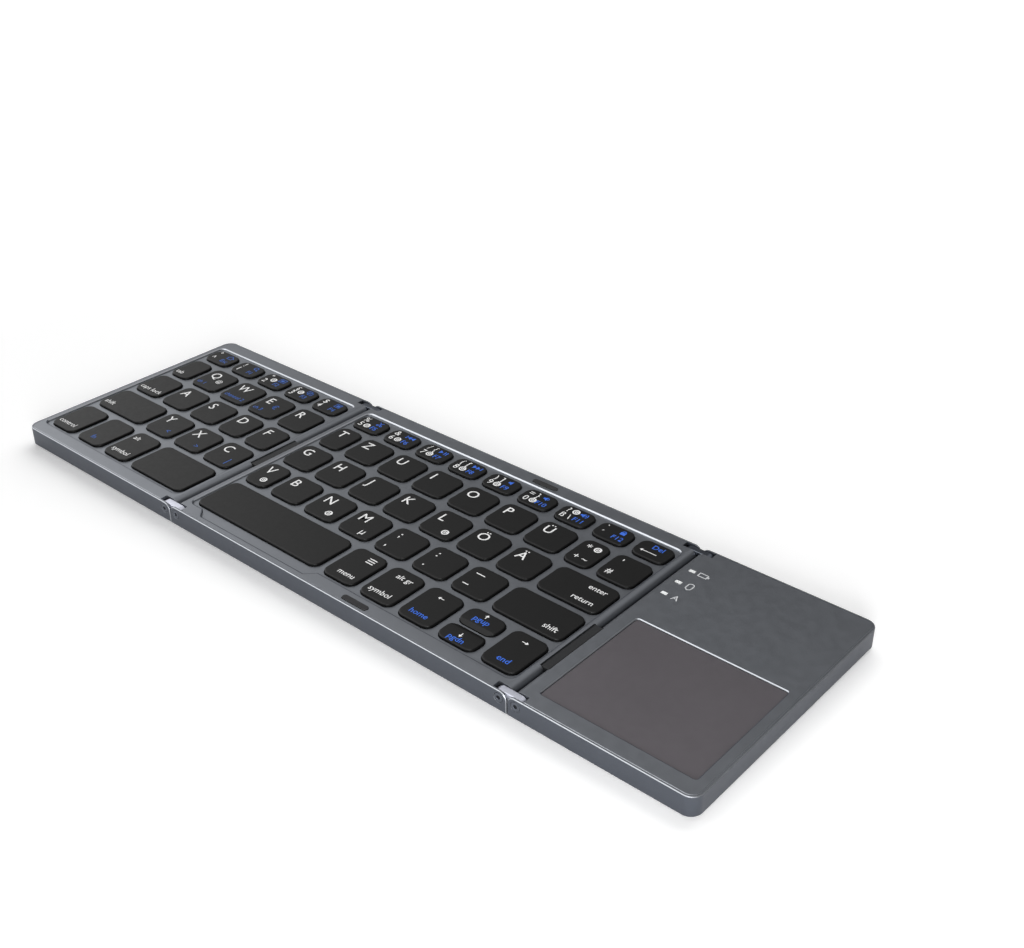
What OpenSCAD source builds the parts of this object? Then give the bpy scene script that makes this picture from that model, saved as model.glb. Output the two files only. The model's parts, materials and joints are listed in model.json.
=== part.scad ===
// Folding keyboard in three panels with a touchpad, lying open.
// The two end panels fold up and over onto the middle one on double-pivot
// hinge plates. Millimetres. Z = 0 is the surface it lies on, the origin is
// under its centre, +X runs to the touchpad end and +Y to the rear edge.

/* [Panels] */
// Height of the rim over the surface
body_height = 8; // [7.8:0.1:9]
// Length of the left panel
left_length = 87.15; // [84:0.05:90]
// Gap between the two end panels when they are folded over the middle one
fold_gap = 2.6; // [2:0.1:4]
// Gap between two open panels
joint_gap = 0.4; // [0.3:0.1:0.8]
// Radius of the outer corners seen from above
corner_r = 4; // [3:0.5:6]
// Thickness of the bottom shells' outer walls
wall = 0.75; // [0.6:0.05:1]
// Width of the ledge inside the walls, which carries the top frames
ledge = 1.25; // [1:0.05:1.6]
// Thickness of the bottom shells' floors
floor_t = 0.8; // [0.6:0.1:1]
// Bevel along the bottom edge
bottom_bevel = 0.5; // [0.2:0.1:0.7]
// Height of the feet under the shells
foot_h = 0.6; // [0.4:0.1:0.8]
// Depth of the pockets that the feet and bumpers are glued in
pad_sink = 0.3; // [0.2:0.1:0.5]

/* [Key deck] */
// Depth of the key deck under the rim
recess_depth = 0.7; // [0.5:0.1:0.9]
// Thickness of the deck
deck_t = 1.2; // [1:0.1:1.4]
// Width of the rim behind the keys
rear_rim = 6.5; // [6:0.1:7]
// Width of the rim in front of the keys
front_rim = 6; // [5.6:0.1:6.6]
// Width of the rim at the left end
end_rim = 2.25; // [2:0.05:3]
// Width of the ridge between a deck and the round shoulder of a joint
ridge = 0.65; // [0.4:0.05:0.9]
// Corner radius of the decks
deck_r = 2.5; // [1:0.5:3]
// How far the deck steps out in front of the space keys
step_out = 3.3; // [2:0.1:3.6]

/* [Keys] */
// Gap between two keys
key_gap = 2.9; // [2.6:0.1:3.2]
// Corner radius of the keys
key_r = 3; // [2:0.1:3.4]
// How far the keys stand above the rim
key_proud = 0.2; // [0.1:0.05:0.4]
// Travel of a pressed key
key_travel = 1.2; // [0.8:0.1:1.4]
// Bevel round the top of a key
key_bevel = 0.3; // [0.1:0.05:0.5]
// Gap between a key and its hole
key_clear = 0.25; // [0.2:0.05:0.35]
// Width of the flange that holds a key under the deck
flange = 0.6; // [0.45:0.05:0.7]
// Thickness of that flange
flange_t = 0.45; // [0.35:0.05:0.6]
// Depth of the number row's cells
number_row = 12.15; // [11.5:0.05:13]
// Depth of a letter row's cells
letter_row = 17.45; // [17:0.05:17.8]
// Depth of the front row's cells
front_row = 20.65; // [20:0.05:22]
// Space between the two arrow keys that share a cell
arrow_gap = 1.1; // [0.8:0.1:1.5]
// Length of the slope on the arrow keys' facing sides
arrow_slope = 1.7; // [1:0.1:2.2]

/* [Hinges] */
// Distance of a pivot from its panel's end face
pivot_inset = 2.95; // [2.9:0.05:3.2]
// Depth of a pivot under the rim
pivot_depth = 2.65; // [2.5:0.05:2.8]
// Half the width of a hinge plate, its round ends' radius
plate_r = 2.3; // [2:0.05:2.4]
// Thickness of a hinge plate
plate_t = 2.4; // [2:0.1:2.6]
// Radius of a hinge pin
pin_r = 1; // [0.8:0.05:1.1]
// Radius of a pin's head
pin_head_r = 1.65; // [1.4:0.05:1.8]
// Thickness of a pin's head
pin_head_t = 0.4; // [0.3:0.05:0.5]
// Radius of the dimple in a pin's head
dimple_r = 0.75; // [0.5:0.05:0.9]
// Depth of that dimple
dimple_depth = 0.15; // [0.1:0.05:0.2]
// Radial clearance of a pin in its plate
pin_clear = 0.05; // [0.03:0.01:0.08]
// Space round a hinge plate
plate_clear = 0.2; // [0.15:0.05:0.25]
// Length of a pin inside the inner ear
ear_t = 1.6; // [1.4:0.1:2]

/* [Cable straps] */
// Width of the cable straps over the joints
strap_w = 3.3; // [3:0.1:3.6]
// Thickness of the straps
strap_t = 1.25; // [1:0.05:1.4]
// Depth of the straps' tops under the rim
strap_depth = 0.5; // [0.3:0.1:0.7]
// Length of the left strap
left_strap_l = 21; // [18:0.5:24]
// Length of the right strap
right_strap_l = 25.5; // [22:0.5:28]

/* [Touchpad panel] */
// Width of the touchpad
touchpad_w = 52.7; // [50:0.1:54]
// Depth of the touchpad from front to rear
touchpad_d = 46; // [42:0.5:48]
// Thickness of the touchpad
touchpad_t = 1; // [0.8:0.1:1.2]
// Depth of the touchpad's face under the rim
touchpad_sink = 0.45; // [0.3:0.05:0.6]
// Space between the touchpad and the right end
touchpad_margin = 4.35; // [4:0.05:5]
// Space between the touchpad and the joint
touchpad_inset = 6.35; // [6.1:0.05:8]
// Thickness of the top cover
cover_t = 1.2; // [1:0.1:1.4]
// Length of an indicator light
light_l = 2.2; // [1.8:0.1:2.6]
// Width of an indicator light
light_w = 1.4; // [1.2:0.1:1.8]
// Spacing of the indicator lights
light_pitch = 7.7; // [6:0.1:9]
// Thickness of the circuit board
board_t = 0.8; // [0.6:0.1:1]
// Thickness of the battery
battery_t = 3; // [2.5:0.1:3.6]
// Distance of the charging socket from the right end
socket_inset = 33.25; // [32:0.25:36]
// Distance of the power switch from the right end
switch_inset = 22.25; // [20:0.25:24]
// Travel of the power switch
switch_travel = 2; // [1.5:0.1:2.5]

/* [Hidden] */
$fn = 48;
eps = 0.01;
deck_margin = 0.35;

// Lengths and depth. The two end panels cover the middle one side by side.
right_length = touchpad_inset + touchpad_w + touchpad_margin;
middle_length = left_length + right_length + fold_gap;
open_length = left_length + middle_length + right_length + 2 * joint_gap;
body_depth = rear_rim + deck_margin + number_row + 3 * letter_row + front_row + front_rim;
big = 2 * open_length;

// Places of the panels along X
left_end = -open_length / 2;
right_end = open_length / 2;
left_joint = left_end + left_length + joint_gap / 2;
right_joint = right_end - right_length - joint_gap / 2;
left_face = left_joint - joint_gap / 2;
middle_left_face = left_joint + joint_gap / 2;
middle_right_face = right_joint - joint_gap / 2;
right_face = right_joint + joint_gap / 2;
side = body_depth / 2;

// Heights
floor_top = foot_h + floor_t;
deck_top = body_height - recess_depth;
deck_under = deck_top - deck_t;
cover_under = body_height - cover_t;
pivot_z = body_height - pivot_depth;
plate_steel_t = 0.5;
sheet_clear = 0.3;
film_inset = 0.2;
membrane_t = 0.3;
membrane_top = floor_top + plate_steel_t + membrane_t;
key_top = body_height + key_proud;
flange_top = deck_under - 0.15;
key_bottom = flange_top - flange_t;
dome_h = key_travel + 1.05;
plunger_l = key_bottom - membrane_top - dome_h - 0.05;
plunger_r = 1.6;
dome_r = 3.6;
dome_top_r = 2.2;
dome_wall = 0.5;
seat_clear = 0.05;

// Hinge plates and pins, from the outside in
plate_out = side - wall - plate_clear + 0.05;
plate_in = plate_out - plate_t;
ear_out = plate_in - plate_clear;
ear_in = ear_out - ear_t;
notch_reach = plate_r + plate_clear + 0.05;

// Decks: the areas that the keys share
deck_rear = side - rear_rim;
deck_front = -side + front_rim;
left_deck_x0 = left_end + end_rim;
left_deck_x1 = left_face - pivot_depth - ridge;
middle_deck_x0 = middle_left_face + pivot_depth + ridge + 0.3;
middle_deck_x1 = middle_right_face - pivot_depth - ridge + 0.25;

// Key cells. Each row lists its cells' widths from the left, as shares of the
// row, which fills the deck.
LEFT_ROWS = [
    [16.3, 16.3, 16.3, 16.3, 16.4],
    [13.35, 17.2, 17.2, 17.2, 16.65],
    [17.05, 17.2, 17.2, 15.2, 14.95],
    [30.05, 17.2, 17.2, 17.15],
    [16.55, 16.6, 16.3, 32.15]
];
MIDDLE_ROWS = [
    [for (i = [1:8]) 16.4, 15.95],
    [13.6, for (i = [1:6]) 17.2, 13.3, 17.05],
    [16.9, for (i = [1:6]) 17.2, 27.05],
    [13.6, for (i = [1:6]) 17.2, 30.35],
    [63.4, 16.7, 16.7, 16.7, 17.3, 16.35]
];

function sum_to(list, n) = n == 0 ? 0 : list[n - 1] + sum_to(list, n - 1);
function row_rear(row) = deck_rear - deck_margin
    - (row == 0 ? 0 : number_row + (row - 1) * letter_row);
function row_front(row) = row == 4 ? deck_front : row_rear(row + 1);
function cell_edge(row, field, n) =
    field[0] + (field[1] - field[0]) * sum_to(row, n) / sum_to(row, len(row));

// A key's outline as [x0, x1, y0, y1]
function key_box(rows, field, row, n) = [
    cell_edge(rows[row], field, n) + key_gap / 2,
    cell_edge(rows[row], field, n + 1) - key_gap / 2,
    row_front(row) + key_gap / 2,
    row_rear(row) - key_gap / 2
];
LEFT_FIELD = [left_deck_x0 + deck_margin, left_deck_x1 + deck_margin];
MIDDLE_FIELD = [middle_deck_x0 - 0.1, middle_deck_x1 + 0.55];
function left_key(row, n) = key_box(LEFT_ROWS, LEFT_FIELD, row, n);
function middle_key(row, n) = key_box(MIDDLE_ROWS, MIDDLE_FIELD, row, n);
ARROW_CELL = 4;
arrow_split = (row_front(4) + row_rear(4)) / 2;
up_arrow_box = let (k = middle_key(4, ARROW_CELL)) [k[0], k[1], arrow_split + arrow_gap / 2, k[3]];
down_arrow_box = let (k = middle_key(4, ARROW_CELL)) [k[0], k[1], k[2], arrow_split - arrow_gap / 2];

// Cable straps: the middles of their lengths along Y
left_strap_y = -1;
right_strap_y = -19.25;
strap_top = body_height - strap_depth;
strap_clear = 0.15;

// Touchpad panel
touchpad_x1 = right_end - touchpad_margin;
touchpad_x0 = touchpad_x1 - touchpad_w;
touchpad_front = 0.8;
touchpad_y0 = deck_front + touchpad_front;
touchpad_y1 = touchpad_y0 + touchpad_d;
touchpad_top = body_height - touchpad_sink;
touchpad_under = touchpad_top - touchpad_t;
tub_t = 0.6;
light_inset = 4.95;
light_x = right_face + light_inset;
light_y = deck_rear - 15;
socket_x = right_end - socket_inset;
socket_w = 7.4;
socket_h = 2.6;
socket_l = 5.2;
socket_wall = 0.3;
socket_face = side - wall - 0.1;
switch_x = right_end - switch_inset;
switch_body = [8, 3, 2];
knob = [1.6, 1.3, 1.2];

// Magnets: where an end panel's pair lands on the middle panel when folded
magnet = [10, 2.6, 3.6];
magnet_inset = 10;
magnet_y = side - wall - ledge - 0.2 - magnet[1] / 2;
left_magnet_x = left_end + magnet_inset;
right_magnet_x = right_end - magnet_inset;
function left_folded(x) = middle_left_face + pivot_inset - (x - left_face + pivot_inset);
function right_folded(x) = middle_right_face - pivot_inset - (x - right_face - pivot_inset);
bumper_x = (left_folded(left_end) + right_folded(right_end)) / 2 + 1;
bumper_l = 11;
bumper_w = 2.2;
bumper_h = 0.3;
bumper_bed = pad_sink + 0.3;
bumper_rear_inset = 3.7;
bumper_front_inset = 2.6;
foot_l = 16;
foot_w = 5;
end_foot_inset = 13;
middle_foot_inset = 22;
side_foot_inset = 9;
pad_clear = 0.05;

// Circuit board, on four studs between the inner ears and the right magnets
board_clear = 0.3;
board_x0 = right_face + pivot_inset + notch_reach + board_clear;
board_x1 = right_magnet_x - magnet[0] / 2 - 1;
board_y0 = touchpad_y1 + 4;
board_y1 = side - 3.2;
board_z = floor_top + 1;
stud_inset = 4;
stud_r = 2;
knob_z = board_z + board_t + switch_body[2] / 2;
battery_gap = 2;
// What stands on the board: its place from the board's corner, its size and its height
BOARD_PARTS = [
    [1.5, 9, 3.2, 15, 1.2],
    [13, 14, 7, 7, 0.9],
    [27, 19, 3.2, 3.2, 0.8],
    [24, 1, 6, 4, 2.2],
    [15, 25, 3.4, 2.2, 1]
];

// ---- Shapes that repeat ----

// A rounded rectangle; box is [x0, x1, y0, y1]
module rounded_area(box, r) {
    translate([box[0] + r, box[2]])
        square([box[1] - box[0] - 2 * r, box[3] - box[2]]);
    translate([box[0], box[2] + r])
        square([box[1] - box[0], box[3] - box[2] - 2 * r]);
    for (x = [box[0] + r, box[1] - r], y = [box[2] + r, box[3] - r])
        translate([x, y]) circle(r);
}

// A slab with round corners and a bevelled top and bottom edge
module bevelled_slab(box, r, z0, z1, top, bottom) {
    w = box[1] - box[0];
    d = box[3] - box[2];
    function profile(half) = [
        [-half + bottom, z0], [half - bottom, z0], [half, z0 + bottom], [half, z1 - top],
        [half - top, z1], [-half + top, z1], [-half, z1 - top], [-half, z0 + bottom]
    ];
    translate([box[0] + r, (box[2] + box[3]) / 2, 0])
        rotate([90, 0, 90]) linear_extrude(w - 2 * r) polygon(profile(d / 2));
    translate([(box[0] + box[1]) / 2, box[3] - r, 0])
        rotate([90, 0, 0]) linear_extrude(d - 2 * r) polygon(profile(w / 2));
    for (x = [box[0] + r, box[1] - r], y = [box[2] + r, box[3] - r])
        translate([x, y, 0]) rotate_extrude() polygon([
            [0, z0], [r - bottom, z0], [r, z0 + bottom], [r, z1 - top], [r - top, z1], [0, z1]
        ]);
}

module stadium(l, w) {
    square([l - w, w], center = true);
    for (s = [-1, 1]) translate([s * (l - w) / 2, 0]) circle(w / 2);
}

// What is cut off a panel's top edge at a joint to leave its round shoulder.
// face is the end face, and dir is 1 where the joint lies towards +X.
module shoulder_cut(face, dir) {
    axis_x = face - dir * pivot_depth;
    difference() {
        translate([dir > 0 ? axis_x : face - 1, -side - 1, pivot_z])
            cube([pivot_depth + 1, body_depth + 2, pivot_depth + 1]);
        translate([axis_x, 0, pivot_z]) rotate([90, 0, 0])
            cylinder(h = body_depth + 4, r = pivot_depth, center = true);
    }
}

// The outside of a panel, squared off and rounded at its joint ends
module panel_body(x0, x1, left_is_joint, right_is_joint) {
    grow = corner_r + 2;
    difference() {
        bevelled_slab(
            [x0 - (left_is_joint ? grow : 0), x1 + (right_is_joint ? grow : 0), -side, side],
            corner_r, foot_h, body_height, 0, bottom_bevel
        );
        if (left_is_joint) {
            translate([x0 - grow - 1, -side - 1, 0]) cube([grow + 1, body_depth + 2, big]);
            shoulder_cut(x0, -1);
        }
        if (right_is_joint) {
            translate([x1, -side - 1, 0]) cube([grow + 1, body_depth + 2, big]);
            shoulder_cut(x1, 1);
        }
    }
}

// The space inside a panel's walls; joint ends are left open by negative insets
module inner_space(x0, x1, inset, z0, z1) {
    r = max(corner_r - inset, 0.5);
    translate([0, 0, z0]) linear_extrude(z1 - z0)
        rounded_area([x0, x1, -side + inset, side - inset], r);
}

// Pin bores of the pivot at x, and the seats of the pin heads
module pin_bores(x) {
    for (s = [-1, 1]) {
        translate([x, s * (ear_in + side) / 2, pivot_z]) rotate([90, 0, 0])
            cylinder(h = side - ear_in + 1, r = pin_r + 0.02, center = true);
        translate([x, s * side, pivot_z]) rotate([90, 0, 0])
            cylinder(h = 2 * (pin_head_t + 0.02), r = pin_head_r + seat_clear, center = true);
    }
}

// The notches that the hinge plates swing in, open towards the joint
module plate_notches(face, dir, z0) {
    pivot_x = face - dir * pivot_inset;
    reach = pivot_inset + notch_reach;
    for (s = [-1, 1])
        translate([
            dir > 0 ? face - reach : face - 1,
            s > 0 ? ear_out : -side + wall,
            z0
        ]) cube([reach + 1, side - wall - ear_out, body_height]);
}

// Blocks at both sides of a joint end that hold the inner ends of the pins
module inner_ears(face, dir, z0, z1) {
    reach = pivot_inset + notch_reach;
    for (s = [-1, 1])
        translate([dir > 0 ? face - reach : face, s > 0 ? ear_in : -ear_out, z0])
            cube([reach, ear_t, z1 - z0]);
}

// Pins with flat heads that are dimpled like rivets
module hinge_pins(x) {
    for (s = [-1, 1])
        translate([x, s * side, pivot_z]) rotate([s * 90, 0, 0]) difference() {
            union() {
                cylinder(h = pin_head_t, r = pin_head_r);
                translate([0, 0, pin_head_t - eps])
                    cylinder(h = side - ear_in - pin_head_t + eps, r = pin_r);
            }
            translate([0, 0, -1]) cylinder(h = 1 + dimple_depth, r = dimple_r);
        }
}

module hinge_plate(x0, x1, s) {
    translate([0, s * (plate_in + plate_out) / 2, pivot_z])
        rotate([90, 0, 0])
            linear_extrude(plate_t, center = true)
                difference() {
                    translate([(x0 + x1) / 2, 0]) stadium(x1 - x0 + 2 * plate_r, 2 * plate_r);
                    for (x = [x0, x1]) translate([x, 0]) circle(pin_r + pin_clear);
                }
}

// A strap pocket across both panels of a joint
module strap_pocket(joint, y, l) {
    w = strap_w + 2 * strap_clear;
    translate([joint - w / 2, y - l / 2 - strap_clear, strap_top - strap_t - seat_clear])
        cube([w, l + 2 * strap_clear, body_height]);
}

module cable_strap(joint, y, l) {
    translate([joint, y, strap_top - strap_t]) rotate([90, 0, 0])
        linear_extrude(l, center = true) {
            translate([-strap_w / 2, 0]) square([strap_w, strap_t - 0.4]);
            translate([-strap_w / 2 + 0.4, 0]) square([strap_w - 0.8, strap_t]);
            for (s = [-1, 1]) translate([s * (strap_w / 2 - 0.4), strap_t - 0.4]) circle(0.4);
        }
}

module feet(places) {
    for (p = places)
        translate([p[0], p[1], 0]) linear_extrude(foot_h + pad_sink) stadium(foot_l, foot_w);
}

module foot_pockets(places) {
    for (p = places)
        translate([p[0], p[1], -1])
            linear_extrude(foot_h + pad_sink + 1)
                stadium(foot_l + 2 * pad_clear, foot_w + 2 * pad_clear);
}

foot_ys = [-side + side_foot_inset, side - side_foot_inset];
middle_foot_xs = [left_joint + middle_foot_inset, right_joint - middle_foot_inset];
LEFT_FEET = [for (y = foot_ys) [left_end + end_foot_inset, y]];
RIGHT_FEET = [for (y = foot_ys) [right_end - end_foot_inset, y]];
MIDDLE_FEET = [for (x = middle_foot_xs, y = foot_ys) [x, y]];

// A tray with a floor, walls and an inner ledge. Its joint ends are closed up
// to the pivot height by end walls, between the inner ears.
module bottom_shell(x0, x1, left_is_joint, right_is_joint, foot_places) {
    past = corner_r + 3;
    in0 = left_is_joint ? x0 - past : x0 + wall;
    in1 = right_is_joint ? x1 + past : x1 - wall;
    low0 = left_is_joint ? x0 + ledge : x0 + wall + ledge;
    low1 = right_is_joint ? x1 - ledge : x1 - wall - ledge;
    difference() {
        panel_body(x0, x1, left_is_joint, right_is_joint);
        inner_space(in0, in1, wall, deck_under, body_height + 1);
        inner_space(low0, low1, wall + ledge, floor_top, deck_under + eps);
        if (left_is_joint) {
            joint_opening(x0, -1);
            plate_notches(x0, -1, floor_top);
            pin_bores(x0 + pivot_inset);
        }
        if (right_is_joint) {
            joint_opening(x1, 1);
            plate_notches(x1, 1, floor_top);
            pin_bores(x1 - pivot_inset);
        }
        foot_pockets(foot_places);
    }
    for (end = [[x0, -1, left_is_joint], [x1, 1, right_is_joint]])
        if (end[2]) difference() {
            inner_ears(end[0], end[1], floor_top - eps, pivot_z);
            pin_bores(end[0] - end[1] * pivot_inset);
        }
}

// The end wall's top is lowered to the pivot height for the frame's shoulder
module joint_opening(face, dir) {
    translate([dir > 0 ? face - pivot_inset - notch_reach : face - 1, -ear_out, pivot_z])
        cube([pivot_inset + notch_reach + 1, 2 * ear_out, body_height]);
}

// The plate that closes a panel from above, flush with the shell's walls, with
// a beam and two lugs at each joint end
module top_plate(x0, x1, left_is_joint, right_is_joint, under) {
    past = corner_r + 3;
    in0 = left_is_joint ? x0 - past : x0 + wall;
    in1 = right_is_joint ? x1 + past : x1 - wall;
    intersection() {
        panel_body(x0, x1, left_is_joint, right_is_joint);
        difference() {
            union() {
                inner_space(in0, in1, wall, under, body_height + 1);
                if (left_is_joint) joint_beam(x0, -1, under);
                if (right_is_joint) joint_beam(x1, 1, under);
            }
            if (left_is_joint) {
                plate_notches(x0, -1, 0);
                pin_bores(x0 + pivot_inset);
            }
            if (right_is_joint) {
                plate_notches(x1, 1, 0);
                pin_bores(x1 - pivot_inset);
            }
        }
    }
}

module joint_beam(face, dir, under) {
    beam = pivot_depth + 0.2;
    translate([dir > 0 ? face - beam : face, -ear_out, pivot_z])
        cube([beam, 2 * ear_out, under - pivot_z + eps]);
    inner_ears(face, dir, pivot_z, under + eps);
}

// One key: a flange under the deck, a bevelled cap and a plunger. The flange
// may be left off at the front or at the rear.
module key(box, front_flange = flange, rear_flange = flange) {
    translate([0, 0, key_bottom]) linear_extrude(flange_t) rounded_area([
        box[0] - flange, box[1] + flange, box[2] - front_flange, box[3] + rear_flange
    ], key_r);
    bevelled_slab(box, key_r, key_bottom, key_top, key_bevel, 0);
    key_plunger(box);
}

module key_plunger(box) {
    translate([(box[0] + box[1]) / 2, (box[2] + box[3]) / 2, key_bottom - plunger_l])
        cylinder(h = plunger_l + eps, r = plunger_r);
}

// A short arrow key, whose side towards the other arrow key slopes and has no
// flange. toward is -1 where that side faces the front.
module arrow_key(box, toward) {
    difference() {
        key(box, toward < 0 ? 0 : flange, toward < 0 ? flange : 0);
        edge = toward < 0 ? box[2] : box[3];
        translate([0, edge, key_top]) rotate([90, 0, 90])
            linear_extrude(big, center = true)
                polygon([
                    [toward, 1], [-toward * arrow_slope, 1], [-toward * arrow_slope, 0],
                    [0, -recess_depth], [toward, -recess_depth]
                ]);
    }
}

module key_hole(box) {
    c = key_clear;
    translate([0, 0, deck_under - 1]) linear_extrude(body_height)
        rounded_area([box[0] - c, box[1] + c, box[2] - c, box[3] + c], key_r + c);
}

module dome(box) {
    translate([(box[0] + box[1]) / 2, (box[2] + box[3]) / 2, membrane_top])
        rotate_extrude() polygon([
            [dome_r - dome_wall, 0], [dome_r, 0], [dome_top_r, dome_h], [0, dome_h],
            [0, dome_h - dome_wall], [dome_top_r - dome_wall, dome_h - dome_wall]
        ]);
}

// A flat sheet between the inner ears
module inner_sheet(x0, x1, z, t) {
    translate([x0, -ear_in + sheet_clear, z])
        cube([x1 - x0, 2 * (ear_in - sheet_clear), t]);
}

module magnets(x) {
    for (s = [-1, 1])
        translate([x - magnet[0] / 2, s * magnet_y - magnet[1] / 2, floor_top]) cube(magnet);
}

// ---- Middle panel ----

module middle_bottom_shell() {
    color("dimgray")
        bottom_shell(middle_left_face, middle_right_face, true, true, MIDDLE_FEET);
}

module middle_key_frame() {
    color("slategray") difference() {
        top_plate(middle_left_face, middle_right_face, true, true, deck_under);
        translate([0, 0, deck_top]) linear_extrude(body_height) {
            rounded_area([middle_deck_x0, middle_deck_x1, deck_front, deck_rear], deck_r);
            middle_step();
        }
        for (row = [0:4], n = [0:len(MIDDLE_ROWS[row]) - 1])
            if (row < 4 || n != ARROW_CELL) key_hole(middle_key(row, n));
        key_hole(up_arrow_box);
        key_hole(down_arrow_box);
        strap_pocket(left_joint, left_strap_y, left_strap_l);
        strap_pocket(right_joint, right_strap_y, right_strap_l);
        bumper_places() translate([0, 0, body_height - bumper_bed])
            linear_extrude(body_height)
                stadium(bumper_l + 2 * pad_clear, bumper_w + 2 * pad_clear);
    }
}

// The deck steps out in front of the space key, with slanted ends
module middle_step() {
    x0 = middle_deck_x0 + 7;
    x1 = middle_key(4, 0)[1];
    polygon([
        [x0, deck_front + deck_r], [x0, deck_front], [x0 + step_out, deck_front - step_out],
        [x1, deck_front - step_out], [x1 + step_out, deck_front],
        [x1 + step_out, deck_front + deck_r]
    ]);
}

module bumper_places() {
    for (s = [-1, 1])
        translate([bumper_x, s > 0 ? side - bumper_rear_inset : bumper_front_inset - side, 0])
            children();
}

module fold_bumpers() {
    color("black") bumper_places()
        translate([0, 0, body_height - bumper_bed])
            linear_extrude(bumper_bed + bumper_h) stadium(bumper_l, bumper_w);
}

module middle_support_plate() {
    color("silver") inner_sheet(
        middle_left_face + ledge + sheet_clear, middle_right_face - ledge - sheet_clear,
        floor_top, plate_steel_t
    );
}

module middle_membrane() {
    inset = ledge + sheet_clear + film_inset;
    color("khaki") inner_sheet(
        middle_left_face + inset, middle_right_face - inset,
        floor_top + plate_steel_t, membrane_t
    );
}

module middle_rubber_domes() {
    color("lightgray") {
        for (row = [0:4], n = [0:len(MIDDLE_ROWS[row]) - 1])
            if (row < 4 || n != ARROW_CELL) dome(middle_key(row, n));
        dome(up_arrow_box);
        dome(down_arrow_box);
    }
}

module middle_feet() {
    color("black") feet(MIDDLE_FEET);
}

module middle_hinge_pins() {
    color("gray") {
        hinge_pins(middle_left_face + pivot_inset);
        hinge_pins(middle_right_face - pivot_inset);
    }
}

module middle_magnets() {
    color("silver") {
        magnets(left_folded(left_magnet_x));
        magnets(right_folded(right_magnet_x));
    }
}

// ---- Left panel ----

module left_bottom_shell() {
    color("dimgray") bottom_shell(left_end, left_face, false, true, LEFT_FEET);
}

module left_key_frame() {
    color("slategray") difference() {
        top_plate(left_end, left_face, false, true, deck_under);
        translate([0, 0, deck_top]) linear_extrude(body_height)
            rounded_area([left_deck_x0, left_deck_x1, deck_front, deck_rear], deck_r);
        for (row = [0:4], n = [0:len(LEFT_ROWS[row]) - 1]) key_hole(left_key(row, n));
        strap_pocket(left_joint, left_strap_y, left_strap_l);
    }
}

module left_support_plate() {
    color("silver") inner_sheet(
        left_end + wall + ledge + sheet_clear, left_face - ledge - sheet_clear,
        floor_top, plate_steel_t
    );
}

module left_membrane() {
    inset = ledge + sheet_clear + film_inset;
    color("khaki") inner_sheet(
        left_end + wall + inset, left_face - inset, floor_top + plate_steel_t, membrane_t
    );
}

module left_rubber_domes() {
    color("lightgray")
        for (row = [0:4], n = [0:len(LEFT_ROWS[row]) - 1]) dome(left_key(row, n));
}

module left_feet() {
    color("black") feet(LEFT_FEET);
}

module left_hinge_pins() {
    color("gray") hinge_pins(left_face - pivot_inset);
}

module left_magnets() {
    color("silver") magnets(left_magnet_x);
}

// ---- Touchpad panel ----

module right_bottom_shell() {
    color("dimgray") difference() {
        union() {
            bottom_shell(right_face, right_end, true, false, RIGHT_FEET);
            for (
                x = [board_x0 + stud_inset, board_x1 - stud_inset],
                y = [board_y0 + stud_inset, board_y1 - stud_inset]
            )
                translate([x, y, floor_top - eps])
                    cylinder(h = board_z - floor_top + eps, r = stud_r);
        }
        translate([socket_x, side - wall - ledge - 1, board_z + board_t + socket_h / 2])
            rotate([-90, 0, 0]) linear_extrude(wall + ledge + 2)
                square([socket_w + 0.6, socket_h + 0.6], center = true);
        translate([switch_x, side - wall - ledge - 1, knob_z])
            rotate([-90, 0, 0]) linear_extrude(wall + ledge + 2)
                square([switch_travel + knob[0] + 0.4, knob[2] + 0.4], center = true);
    }
}

module right_top_cover() {
    color("slategray") difference() {
        union() {
            top_plate(right_face, right_end, true, false, cover_under);
            translate([0, 0, touchpad_under - tub_t])
                linear_extrude(cover_under - touchpad_under + tub_t + eps)
                    rounded_area([
                        touchpad_x0 - 1, touchpad_x1 + 1, touchpad_y0 - 1, touchpad_y1 + 1
                    ], 1.5);
        }
        c = 0.1;
        translate([0, 0, touchpad_under]) linear_extrude(body_height)
            rounded_area([
                touchpad_x0 - c, touchpad_x1 + c, touchpad_y0 - c, touchpad_y1 + c
            ], 1);
        light_places() cube([light_l + 0.1, light_w + 0.1, big], center = true);
        strap_pocket(right_joint, right_strap_y, right_strap_l);
    }
}

module touchpad() {
    color("dimgray") bevelled_slab(
        [touchpad_x0, touchpad_x1, touchpad_y0, touchpad_y1], 0.9,
        touchpad_under, touchpad_top, 0.1, 0
    );
}

module light_places() {
    for (i = [-1:1]) translate([light_x, light_y + i * light_pitch, 0]) children();
}

module indicator_lights() {
    color("white") light_places()
        translate([-light_l / 2, -light_w / 2, cover_under - 0.8])
            cube([light_l, light_w, cover_t + 0.8]);
}

module main_board() {
    color("darkgreen") translate([board_x0, board_y0, board_z]) {
        cube([board_x1 - board_x0, board_y1 - board_y0, board_t]);
        for (p = BOARD_PARTS)
            translate([p[0], p[1], board_t - eps]) cube([p[2], p[3], p[4] + eps]);
    }
}

module battery() {
    color("silver")
        translate([touchpad_x0 + battery_gap, touchpad_y0 + battery_gap, floor_top])
            cube([touchpad_w - 2 * battery_gap, touchpad_d - 3 * battery_gap, battery_t]);
}

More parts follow.
